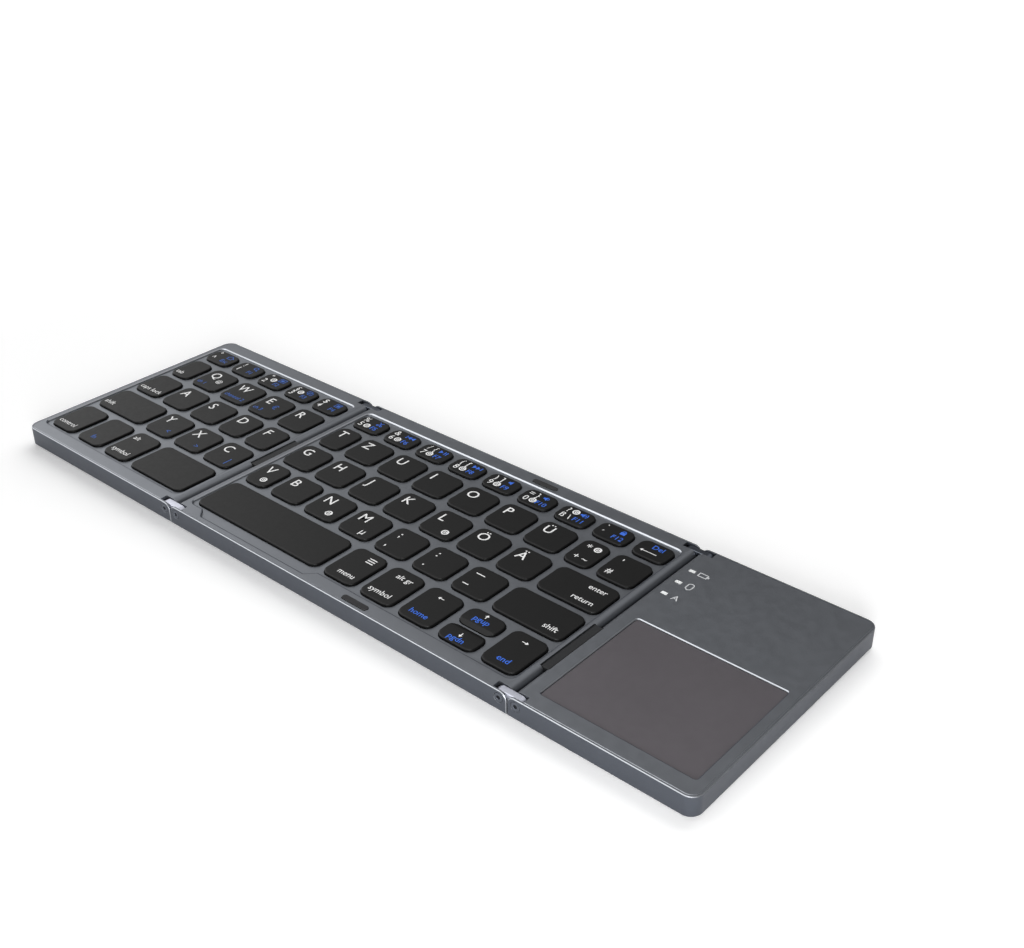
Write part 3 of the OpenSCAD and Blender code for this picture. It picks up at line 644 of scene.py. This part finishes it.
def key_boxes(node):
    """The outlines (x0, x1, y0, y1) of the caps of a key node, from left to right."""
    bm = bmesh.new()
    bm.from_mesh(frame["nodes"][node].data)
    bmesh.ops.remove_doubles(bm, verts=bm.verts, dist=SAME_POINT)
    seen, boxes = set(), []
    for start in bm.verts:
        if start in seen:
            continue
        piece, queue = [], [start]
        seen.add(start)
        while queue:
            vert = queue.pop()
            piece.append(vert.co.copy())
            for edge in vert.link_edges:
                other = edge.other_vert(vert)
                if other not in seen:
                    seen.add(other)
                    queue.append(other)
        cap = [p for p in piece if p.z > FLANGE_Z + OVER_FLANGE]
        xs, ys = [p.x for p in cap], [p.y for p in cap]
        boxes.append((min(xs), max(xs), min(ys), max(ys)))
    bm.free()
    return sorted(boxes)


# How far a flange reaches beyond its cap, and how far where two arrow keys face each other
FLANGE = 0.6 * MM
ARROW_FLANGE = 0.1 * MM
FLANGE_T = 0.45 * MM
CAP_ROUND = 0.35 * MM
CAP_ROUND_STEPS = 4
CAP_FLAT_INSET = CAP_ROUND + 0.4 * MM
CAP_SHARP_ANGLE = 50


def add_cap(bm, box):
    """A cap with a rounded top edge, on the flange that holds it under the deck."""
    rings = [
        rounded_ring(box, -FLANGE, FLANGE_Z - FLANGE_T),
        rounded_ring(box, -FLANGE, FLANGE_Z),
        rounded_ring(box, 0, FLANGE_Z),
    ]
    for i in range(CAP_ROUND_STEPS + 1):
        angle = math.radians(90 * i / CAP_ROUND_STEPS)
        inset = CAP_ROUND * (1 - math.cos(angle))
        rings.append(rounded_ring(box, inset, KEY_TOP - CAP_ROUND * (1 - math.sin(angle))))
    rings.append(rounded_ring(box, CAP_FLAT_INSET, KEY_TOP))
    loft(bm, rings)


def slope_side(bm, edge, toward):
    """Lets a cap's top fall towards the edge at that Y, and trims its flange there.

    The other of two arrow keys stands close by. toward is 1 where the edge faces +Y.
    """
    start = edge - toward * ARROW_SLOPE
    bmesh.ops.bisect_plane(
        bm, geom=bm.verts[:] + bm.edges[:] + bm.faces[:], plane_co=(0, start, 0),
        plane_no=(0, 1, 0),
    )
    for vert in bm.verts:
        share = toward * (vert.co.y - start) / ARROW_SLOPE
        vert.co.z = min(vert.co.z, KEY_TOP - ARROW_DROP * max(0, share))
        vert.co.y = edge + toward * min(toward * (vert.co.y - edge), ARROW_FLANGE)


def key_caps():
    """Stands detailed caps in for every key node. Returns each node's cap outlines."""
    outlines = {}
    for node in frame["nodes"]:
        if not node.endswith(("_key", "_keys")):
            continue
        outlines[node] = key_boxes(node)
        bm = bmesh.new()
        for box in outlines[node]:
            add_cap(bm, box)
        if node == "up_arrow_key":
            slope_side(bm, outlines[node][0][2], -1)
        if node == "down_arrow_key":
            slope_side(bm, outlines[node][0][3], 1)
        caps = add_object(f"{node}_caps", bm, node, "key_plastic", key_plastic)
        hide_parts(node)
        smooth(caps, CAP_SHARP_ANGLE)
    return outlines


# ---- Printed legends and icons ----

# The blue ink is deeper on the left panel, which ends at this X
LEFT_PANEL_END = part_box("left_key_frame")[1].x
# Widths of lines on the keys and on the right panel, in millimetres
LINE, PANEL_LINE = 0.3, 0.35
INK_LIFT = 0.012 * MM
# A capital's height over the font's size, and how far its outline is pushed out over that height
CAP_HEIGHT = 0.729
TEXT_WEIGHT = 0.006


class Marks:
    """Flat marks of one colour, collected in millimetres."""

    def __init__(self):
        self.points = []
        self.faces = []

    def add(self, points, faces):
        first = len(self.points)
        self.points += points
        self.faces += [[first + i for i in face] for face in faces]

    def polygon(self, *points):
        self.add(list(points), [range(len(points))])

    def box(self, x, y, w, h):
        x0, x1, y0, y1 = x - w / 2, x + w / 2, y - h / 2, y + h / 2
        self.polygon((x0, y0), (x1, y0), (x1, y1), (x0, y1))

    def rectangle(self, x0, y0, x1, y1, width=LINE):
        """The outline of a rectangle between two corners."""
        self.line((x0, y0), (x1, y0), (x1, y1), (x0, y1), width=width, closed=True)

    def line(self, *points, width=LINE, closed=False):
        """A line of even width with mitred corners."""
        count = len(points)
        sides = []
        for i, point in enumerate(points):
            here = Vector(point)
            before = Vector(points[i - 1]) if closed or i > 0 else None
            after = Vector(points[(i + 1) % count]) if closed or i < count - 1 else None
            into = (here - before).normalized() if before is not None else None
            out = (after - here).normalized() if after is not None else None
            into, out = into or out, out or into
            across = Vector((-(into + out).y, (into + out).x)).normalized()
            reach = width / 2 / max(0.4, across.dot(Vector((-into.y, into.x))))
            sides += [tuple(here + across * reach), tuple(here - across * reach)]
        spans = count if closed else count - 1
        faces = []
        for i in range(spans):
            j = (i + 1) % count
            faces.append((2 * i, 2 * i + 1, 2 * j + 1, 2 * j))
        self.add(sides, faces)

    def arc(self, x, y, radius, start=0, end=360, width=LINE, steps=20):
        turns = steps if end - start == 360 else steps + 1
        angles = [math.radians(start + (end - start) * i / steps) for i in range(turns)]
        points = [(x + radius * math.cos(a), y + radius * math.sin(a)) for a in angles]
        self.line(*points, width=width, closed=end - start == 360)

    def disc(self, x, y, radius, steps=28):
        turn = 2 * math.pi / steps
        self.polygon(*[
            (x + radius * math.cos(i * turn), y + radius * math.sin(i * turn)) for i in range(steps)
        ])

    def text(self, words, x, y, height, align="CENTER"):
        """Words whose capitals are height tall and centred on y."""
        curve = bpy.data.curves.new("words", "FONT")
        curve.body = words
        curve.size = height / CAP_HEIGHT
        curve.offset = TEXT_WEIGHT * height
        curve.align_x = align
        curve.resolution_u = 3
        words_object = bpy.data.objects.new("words", curve)
        mesh = words_object.to_mesh()
        self.add(
            [(x + v.co.x, y - height / 2 + v.co.y) for v in mesh.vertices],
            [list(p.vertices) for p in mesh.polygons],
        )
        words_object.to_mesh_clear()
        bpy.data.objects.remove(words_object)
        bpy.data.curves.remove(curve)

    def build(self, name, z, mat, body, slot):
        if not self.faces:
            return
        bm = bmesh.new()
        verts = [bm.verts.new((x * MM, y * MM, z)) for x, y in self.points]
        for face in self.faces:
            bm.faces.new([verts[i] for i in face])
        bm.normal_update()
        for face in bm.faces:
            if face.normal.z < 0:
                face.normal_flip()
        add_object(name, bm, body, slot, mat)


def home_icon(marks, x, y):
    marks.line((x - 1.9, y - 0.3), (x, y + 1.2), (x + 1.9, y - 0.3))
    marks.line((x - 1.2, y), (x - 1.2, y - 1.3), (x + 1.2, y - 1.3), (x + 1.2, y))


def search_icon(marks, x, y):
    marks.arc(x - 0.3, y + 0.3, 0.95, width=0.4)
    marks.line((x + 0.35, y - 0.4), (x + 1.2, y - 1.3), width=0.5)


def select_icon(marks, x, y):
    marks.rectangle(x - 1.5, y - 1.2, x + 1.5, y + 1.2)
    marks.box(x, y, 1.7, 1.2)


def copy_icon(marks, x, y):
    for dx, dy in ((-0.5, 0.4), (0.5, -0.4)):
        marks.rectangle(x + dx - 1, y + dy - 0.8, x + dx + 1, y + dy + 0.8)


def paste_icon(marks, x, y):
    marks.rectangle(x - 1.3, y - 1.3, x + 1.3, y + 1.1)
    marks.box(x + 0.2, y - 0.2, 1.5, 1.3)


def cut_icon(marks, x, y):
    for s in (-1, 1):
        marks.line((x - 0.9 * s, y + 1.3), (x + 0.5 * s, y - 0.5))
        marks.arc(x + 0.8 * s, y - 0.9, 0.42, steps=12)


def triangle(marks, x, y, way):
    """A solid triangle that points along way, 1 for +X."""
    marks.polygon((x - 0.8 * way, y - way), (x + 0.8 * way, y), (x - 0.8 * way, y + way))


def previous_icon(marks, x, y):
    marks.box(x - 2.2, y, 0.35, 2)
    triangle(marks, x - 0.9, y, -1)
    triangle(marks, x + 0.8, y, -1)


def play_icon(marks, x, y):
    triangle(marks, x - 0.9, y, 1)
    marks.box(x + 0.7, y, 0.4, 2)
    marks.box(x + 1.6, y, 0.4, 2)


def next_icon(marks, x, y):
    triangle(marks, x - 0.8, y, 1)
    triangle(marks, x + 0.9, y, 1)
    marks.box(x + 2.2, y, 0.35, 2)


def speaker(marks, x, y, waves):
    marks.box(x - 1.3, y, 0.6, 0.9)
    marks.polygon((x - 1, y - 0.45), (x, y - 1.15), (x, y + 1.15), (x - 1, y + 0.45))
    for i in range(waves):
        marks.arc(x - 0.3, y, 0.9 + 0.65 * i, -45, 45, steps=8)


def mute_icon(marks, x, y):
    """A speaker without waves."""
    speaker(marks, x + 0.5, y, 0)


def quieter_icon(marks, x, y):
    speaker(marks, x, y, 1)


def louder_icon(marks, x, y):
    speaker(marks, x, y, 2)


def lock_icon(marks, x, y):
    marks.box(x, y - 0.45, 2, 1.5)
    marks.arc(x, y + 0.35, 0.65, 0, 180, width=0.4, steps=10)


ARROW_HEAD, ARROW_HALF_W = 0.9, 0.7


def arrow(marks, x, y, dx, dy, length):
    """An arrow of that length about (x, y) that points along (dx, dy)."""
    tip = (x + dx * length / 2, y + dy * length / 2)
    neck = (tip[0] - dx * ARROW_HEAD, tip[1] - dy * ARROW_HEAD)
    wing = (dy * ARROW_HALF_W, dx * ARROW_HALF_W)
    marks.line((x - dx * length / 2, y - dy * length / 2), neck)
    marks.polygon(
        tip, (neck[0] - wing[0], neck[1] + wing[1]), (neck[0] + wing[0], neck[1] - wing[1])
    )


# Number row: each key's shifted signs, its own sign, the height of its disc,
# and its blue icon and function name
NUMBER_KEYS = {
    "left_number_keys": [
        ("°", "", "^", "", None, home_icon, "Esc"),
        ("!", "", "1", "", None, search_icon, "F1"),
        ('"', "", "2", "", "middle", select_icon, "F2"),
        ("§", "", "3", "", "middle", copy_icon, "F3"),
        ("$", "", "4", "", None, paste_icon, "F4"),
    ],
    "middle_number_keys": [
        ("%", "", "5", "", "low", cut_icon, "F5"),
        ("&", "", "6", "", "low", previous_icon, "F6"),
        ("/", "{", "7", "", "low", play_icon, "F7"),
        ("(", "[", "8", "", "low", next_icon, "F8"),
        (")", "]", "9", "", "low", mute_icon, "F9"),
        ("=", "}", "0", "", "low", quieter_icon, "F10"),
        ("?", "", "ß", "\\", "high", louder_icon, "F11"),
        ("`", "", "´", "", None, lock_icon, "F12"),
    ],
}
SIGN_X, SECOND_X, BLUE_X = 2.7, 5.5, 9.3
HIGH_Y, MIDDLE_Y, LOW_Y = -2.45, -4.1, -6.1
DISC_Y = {"high": HIGH_Y, "middle": MIDDLE_Y, "low": LOW_Y}
DISC_X, DISC_R = 5.7, 1.4
# The sign on a disc: the radius of its open ring, the length of its bar and its lines' width
RING_R, BAR_W, SIGN_LINE = 0.75, 0.7, 0.28
SIGN_H, LETTER_H, WORD_H, FUNCTION_H = 2.9, 4.3, 2.35, 2.3
DASH_T = 0.42
# The menu key's bars: X, the first one's Y, their distance, length and thickness
MENU_BARS = (9.2, -3, 1.1, 3.2, 0.45)
LETTER_X, LETTER_Y = 2.1, -4.4

LETTERS = {
    "left_top_letter_keys": "QWER",
    "left_home_letter_keys": "ASDF",
    "left_low_letter_keys": "YXC",
    "middle_top_letter_keys": "TZUIOPÜ",
    "middle_home_letter_keys": "GHJKLÖÄ",
    "middle_low_letter_keys": "VBNM",
}

# Further signs and words: node, key, ink, text, X and Y from the key's left rear corner in
# millimetres, height, alignment. A negative X counts from the right rear corner.
WORDS = [
    ("left_top_letter_keys", 0, "white", "@", 9.5, -7.1, 2.2, "CENTER"),
    ("left_top_letter_keys", 0, "blue", "ch 1", 1.6, -11.4, 2.0, "LEFT"),
    ("left_top_letter_keys", 1, "blue", "channel 2", 1.6, -11.4, 2.0, "LEFT"),
    ("left_top_letter_keys", 2, "blue", "ch 3", 1.6, -11.4, 2.0, "LEFT"),
    ("left_top_letter_keys", 2, "blue", "€", 8.9, -7.0, 2.8, "CENTER"),
    ("left_low_letter_keys", 0, "blue", "<", 10.4, -10.7, 2.4, "CENTER"),
    ("left_low_letter_keys", 1, "blue", ">", 10.4, -10.9, 2.4, "CENTER"),
    ("left_low_letter_keys", 2, "blue", "|", 10.9, -10.2, 3.2, "CENTER"),
    ("middle_low_letter_keys", 3, "white", "µ", 9.8, -10.9, 3.2, "CENTER"),
    ("middle_low_letter_keys", 4, "white", ";", 3.7, -3.9, 3.4, "CENTER"),
    ("middle_low_letter_keys", 4, "white", ",", 3.7, -10.2, 3.4, "CENTER"),
    ("middle_low_letter_keys", 5, "white", ":", 3.7, -3.9, 3.4, "CENTER"),
    ("middle_low_letter_keys", 5, "white", ".", 3.7, -10.2, 3.4, "CENTER"),
    ("middle_top_letter_keys", 7, "white", "*", 3.4, -4.0, 3.2, "CENTER"),
    ("middle_top_letter_keys", 7, "white", "+", 3.4, -10.6, 2.8, "CENTER"),
    ("middle_top_letter_keys", 7, "white", "~", 6.9, -10.6, 2.8, "CENTER"),
    ("middle_top_letter_keys", 8, "white", "'", 3.4, -3.8, 3.0, "CENTER"),
    ("middle_top_letter_keys", 8, "white", "#", 3.4, -10.4, 2.8, "CENTER"),
    ("tab_key", 0, "white", "tab", 1.3, -11.4, WORD_H, "LEFT"),
    ("caps_lock_key", 0, "white", "caps lock", 1.2, -11.2, WORD_H, "LEFT"),
    ("left_shift_key", 0, "white", "shift", 1.3, -10.7, WORD_H, "LEFT"),
    ("control_key", 0, "white", "control", 1.3, -13.7, WORD_H, "LEFT"),
    ("fn_key", 0, "blue", "fn", 6.4, -13.7, WORD_H, "CENTER"),
    ("alt_key", 0, "white", "alt", 1.8, -4.1, WORD_H, "LEFT"),
    ("alt_key", 0, "white", "symbol", 1.8, -13.7, WORD_H, "LEFT"),
    ("command_key", 0, "white", "menu", 11.6, -13.7, WORD_H, "RIGHT"),
    ("alt_gr_key", 0, "white", "alt gr", 11.0, -3.9, WORD_H, "RIGHT"),
    ("alt_gr_key", 0, "white", "symbol", 11.0, -13.7, WORD_H, "RIGHT"),
    ("left_arrow_key", 0, "blue", "home", 6.6, -13.8, WORD_H, "CENTER"),
    ("up_arrow_key", 0, "blue", "pgup", 6.9, -4.1, WORD_H, "CENTER"),
    ("down_arrow_key", 0, "blue", "pgdn", 6.9, -6.1, WORD_H, "CENTER"),
    ("right_arrow_key", 0, "blue", "end", 6.8, -13.8, WORD_H, "CENTER"),
    ("enter_key", 0, "white", "enter", -3.3, -3.7, WORD_H, "RIGHT"),
    ("enter_key", 0, "white", "return", -3.3, -10.8, WORD_H, "RIGHT"),
    ("right_shift_key", 0, "white", "shift", -3.3, -10.7, WORD_H, "RIGHT"),
    ("backspace_key", 0, "blue", "Del", 7.2, HIGH_Y, WORD_H, "CENTER"),
]
# Dashes: node, key, X and Y as above, length
DASHES = [
    ("middle_low_letter_keys", 6, 4.5, -4.0, 3.6),
    ("middle_low_letter_keys", 6, 3.9, -10.6, 2.5),
]
# White discs with a small dark sign: node, key, X and Y as above
DISCS = [
    ("middle_low_letter_keys", 0, 6.7, -10.6),
    ("middle_low_letter_keys", 2, 9.75, -10.6),
    ("middle_home_letter_keys", 4, 10.2, -11.0),
    ("middle_top_letter_keys", 7, 6.95, -3.8),
]
# Arrows: node, X and Y as above, direction, length
ARROWS = [
    ("left_arrow_key", 6.6, -4, -1, 0, 2.4),
    ("right_arrow_key", 6.6, -4, 1, 0, 2.4),
    ("up_arrow_key", 6.9, -1.9, 0, 1, 2.0),
    ("down_arrow_key", 6.9, -4.1, 0, -1, 2.0),
    ("backspace_key", 5.5, LOW_Y, -1, 0, 6.4),
]


class KeyInk:
    """The white, blue and dark marks of each key node."""

    def __init__(self, outlines):
        self.outlines = outlines
        self.marks = {}

    def of(self, node, ink):
        return self.marks.setdefault((node, ink), Marks())

    def corner(self, node, key):
        """The left rear corner of a key in millimetres."""
        x0, _, _, y1 = self.outlines[node][key]
        return x0 / MM, y1 / MM

    def disc(self, node, key, x, y):
        left, rear = self.corner(node, key)
        self.of(node, "white").disc(left + x, rear + y, DISC_R)
        dark = self.of(node, "dark")
        dark.arc(left + x, rear + y, RING_R, 40, 360, width=SIGN_LINE, steps=12)
        dark.box(left + x, rear + y, BAR_W, SIGN_LINE)

    def build(self):
        inks = {"white": (white_ink, 1), "blue": (blue_ink, 1), "dark": (dark_ink, 2)}
        for (node, ink), marks in self.marks.items():
            mat, layer = inks[ink]
            if ink == "blue" and frame["nodes"][node].data.vertices[0].co.x < LEFT_PANEL_END:
                mat = deep_blue_ink
            marks.build(f"{node}_{ink}_print", KEY_TOP + layer * INK_LIFT, mat, node, "key_plastic")


def number_legends(ink):
    for node, keys in NUMBER_KEYS.items():
        for key, (sign, second, own, own_second, disc, icon, function) in enumerate(keys):
            left, rear = ink.corner(node, key)
            white, blue = ink.of(node, "white"), ink.of(node, "blue")
            white.text(sign, left + SIGN_X, rear + HIGH_Y, SIGN_H)
            white.text(own, left + SIGN_X, rear + LOW_Y, SIGN_H)
            if second:
                white.text(second, left + SECOND_X, rear + HIGH_Y, SIGN_H)
            if own_second:
                white.text(own_second, left + SECOND_X, rear + LOW_Y, SIGN_H)
            if disc:
                ink.disc(node, key, DISC_X, DISC_Y[disc])
            icon(blue, left + BLUE_X, rear + HIGH_Y)
            blue.text(function, left + BLUE_X, rear + LOW_Y, FUNCTION_H)


def key_legends(outlines):
    ink = KeyInk(outlines)
    number_legends(ink)
    for node, letters in LETTERS.items():
        for key, letter in enumerate(letters):
            left, rear = ink.corner(node, key)
            ink.of(node, "white").text(letter, left + LETTER_X, rear + LETTER_Y, LETTER_H, "LEFT")
    for node, key, colour, words, x, y, height, align in WORDS:
        left, rear = ink.corner(node, key)
        if x < 0:
            left = outlines[node][key][1] / MM
        ink.of(node, colour).text(words, left + x, rear + y, height, align)
    for node, key, x, y, length in DASHES:
        left, rear = ink.corner(node, key)
        ink.of(node, "white").box(left + x, rear + y, length, DASH_T)
    for node, key, x, y in DISCS:
        ink.disc(node, key, x, y)
    for node, x, y, dx, dy, length in ARROWS:
        left, rear = ink.corner(node, 0)
        arrow(ink.of(node, "white"), left + x, rear + y, dx, dy, length)
    left, rear = ink.corner("command_key", 0)
    x, y, distance, length, thickness = MENU_BARS
    for row in range(3):
        ink.of("command_key", "white").box(left + x, rear + y - row * distance, length, thickness)
    ink.build()


# From the lights to the middles of their prints, and from a light's end to its middle
ICON_GAP = 3.2
LIGHT_HALF_W = 0.7


def panel_icons():
    """Small prints beside the three indicator lights: a letter, a rounded outline and a battery."""
    low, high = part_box("indicator_lights")
    x = high.x / MM + ICON_GAP
    front, middle = low.y / MM + LIGHT_HALF_W, (low.y + high.y) / 2 / MM
    rear = high.y / MM - LIGHT_HALF_W
    marks = Marks()
    marks.text("A", x, front, 2.6)
    marks.arc(x, middle + 0.7, 1, 0, 180, width=PANEL_LINE, steps=10)
    marks.arc(x, middle - 0.7, 1, 180, 360, width=PANEL_LINE, steps=10)
    for s in (-1, 1):
        marks.line((x + s, middle - 0.7), (x + s, middle + 0.7), width=PANEL_LINE)
    marks.rectangle(x - 1.7, rear - 0.9, x + 1.3, rear + 0.9, width=PANEL_LINE)
    marks.box(x + 1.8, rear, 0.5, 0.9)
    marks.build("panel_print", RIM_Z + INK_LIFT, grey_ink, "right_panel", "deck_metal")


# ---- Floor, lights and camera ----

FLOOR_SIZE = 8
FLOOR_COLOUR = (0.96, 0.96, 0.96, 1)
# The floor glows by FLOOR_GLOW up to SHADED_FLOOR_R from the middle, and fully from WHITE_FLOOR_R
SHADED_FLOOR_R = 0.25
WHITE_FLOOR_R = 0.7
FLOOR_GLOW = 0.2
# The camera: sensor width and focal length in millimetres, place, direction and roll
SENSOR_WIDTH = 36
LENS_F = 47.756
NEAR_CLIP = 0.01
CAMERA_PLACE = Vector((0.282784, -0.270847, 0.255874))
CAMERA_AIM = Vector((-0.56189, 0.64956, -0.51220))
CAMERA_ROLL = math.radians(-0.1)


def floor():
    """A white floor that keeps the object's shadow near it and is plain white further out."""
    bpy.ops.mesh.primitive_plane_add(size=FLOOR_SIZE)
    plane = bpy.context.object
    plane.name = "floor"
    mat = bpy.data.materials.new("floor")
    mat.use_nodes = True
    nodes, links = mat.node_tree.nodes, mat.node_tree.links
    shader = nodes["Principled BSDF"]
    shader.inputs["Base Color"].default_value = FLOOR_COLOUR
    shader.inputs["Roughness"].default_value = 0.6
    shader.inputs["Specular IOR Level"].default_value = 0.2
    place = nodes.new("ShaderNodeTexCoord")
    reach = nodes.new("ShaderNodeVectorMath")
    reach.operation = "LENGTH"
    fade = nodes.new("ShaderNodeMapRange")
    fade.inputs["From Min"].default_value = SHADED_FLOOR_R
    fade.inputs["From Max"].default_value = WHITE_FLOOR_R
    fade.inputs["To Min"].default_value = FLOOR_GLOW
    fade.inputs["To Max"].default_value = 1
    glow = nodes.new("ShaderNodeEmission")
    rays = nodes.new("ShaderNodeLightPath")
    either = nodes.new("ShaderNodeMath")
    either.operation = "MAXIMUM"
    level = nodes.new("ShaderNodeMath")
    level.operation = "MULTIPLY"
    both = nodes.new("ShaderNodeAddShader")
    links.new(place.outputs["Object"], reach.inputs[0])
    links.new(reach.outputs["Value"], fade.inputs["Value"])
    links.new(rays.outputs["Is Camera Ray"], either.inputs[0])
    links.new(rays.outputs["Is Glossy Ray"], either.inputs[1])
    links.new(either.outputs["Value"], level.inputs[0])
    links.new(fade.outputs["Result"], level.inputs[1])
    links.new(level.outputs["Value"], glow.inputs["Strength"])
    links.new(shader.outputs["BSDF"], both.inputs[0])
    links.new(glow.outputs["Emission"], both.inputs[1])
    links.new(both.outputs["Shader"], nodes["Material Output"].inputs["Surface"])
    plane.data.materials.append(mat)


# The studio that gloss shows: a dim room with bright parts, each given by the way to it, the
# cosines where it starts and where it is full, and its strength
ROOM_STRENGTH = 0.15
BRIGHT_PARTS = [((-0.7, -0.5, 0.5), 0.39, 0.56, 1.75), ((0.15, 0.4, 0.9), 0.82, 0.94, 0.8)]


def world():
    """White where the camera sees it. Gloss shows the dim room with its bright parts."""
    light = bpy.data.worlds.new("studio")
    bpy.context.scene.world = light
    light.use_nodes = True
    nodes, links = light.node_tree.nodes, light.node_tree.links
    nodes.clear()
    place = nodes.new("ShaderNodeTexCoord")
    rays = nodes.new("ShaderNodeLightPath")
    total = None
    for way, start, full, strength in BRIGHT_PARTS:
        along = nodes.new("ShaderNodeVectorMath")
        along.operation = "DOT_PRODUCT"
        along.inputs[1].default_value = Vector(way).normalized()
        ramp = nodes.new("ShaderNodeMapRange")
        ramp.interpolation_type = "SMOOTHSTEP"
        ramp.inputs["From Min"].default_value = start
        ramp.inputs["From Max"].default_value = full
        ramp.inputs["To Min"].default_value = 0
        ramp.inputs["To Max"].default_value = strength
        links.new(place.outputs["Generated"], along.inputs[0])
        links.new(along.outputs["Value"], ramp.inputs["Value"])
        add = nodes.new("ShaderNodeMath")
        add.operation = "MULTIPLY_ADD"
        add.inputs[2].default_value = ROOM_STRENGTH
        links.new(ramp.outputs["Result"], add.inputs[0])
        links.new(rays.outputs["Is Glossy Ray"], add.inputs[1])
        if total:
            links.new(total, add.inputs[2])
        total = add.outputs["Value"]
    studio = nodes.new("ShaderNodeBackground")
    white = nodes.new("ShaderNodeBackground")
    pick = nodes.new("ShaderNodeMixShader")
    out = nodes.new("ShaderNodeOutputWorld")
    links.new(total, studio.inputs["Strength"])
    links.new(rays.outputs["Is Camera Ray"], pick.inputs["Fac"])
    links.new(studio.outputs["Background"], pick.inputs[1])
    links.new(white.outputs["Background"], pick.inputs[2])
    links.new(pick.outputs["Shader"], out.inputs["Surface"])
    for node in (studio, white):
        node.inputs["Color"].default_value = (1, 1, 1, 1)


def softbox(name, place, width, height, watts, mirrored=True):
    """A rectangular lamp that faces the keyboard's centre. mirrored says whether gloss shows it."""
    lamp = bpy.data.lights.new(name, "AREA")
    lamp.shape = "RECTANGLE"
    lamp.size = width
    lamp.size_y = height
    lamp.energy = watts
    obj = bpy.data.objects.new(name, lamp)
    obj.location = place
    obj.rotation_euler = (-Vector(place)).to_track_quat("-Z", "Y").to_euler()
    obj.visible_glossy = mirrored
    bpy.context.scene.collection.objects.link(obj)


def lights():
    softbox("rear_box", (-0.35, 0.95, 0.85), 1.7, 1.7, 19, mirrored=False)
    softbox("front_left_box", (-0.55, -0.55, 0.7), 0.4, 0.4, 1)
    softbox("front_right_box", (0.34, -0.36, 0.13), 0.2, 0.2, 2.3)


def camera():
    lens = bpy.data.cameras.new("camera")
    lens.sensor_width = SENSOR_WIDTH
    lens.lens = LENS_F
    lens.clip_start = NEAR_CLIP
    obj = bpy.data.objects.new("camera", lens)
    turn = CAMERA_AIM.to_track_quat("-Z", "Y").to_matrix().to_4x4()
    roll = Matrix.Rotation(CAMERA_ROLL, 4, "Z")
    obj.matrix_world = Matrix.Translation(CAMERA_PLACE) @ turn @ roll
    bpy.context.scene.collection.objects.link(obj)
    bpy.context.scene.camera = obj


camera()
floor()
world()
lights()
refinish()
skins()
key_legends(key_caps())
panel_icons()
bpy.context.scene.view_settings.view_transform = "Standard"
bpy.context.view_layer.update()
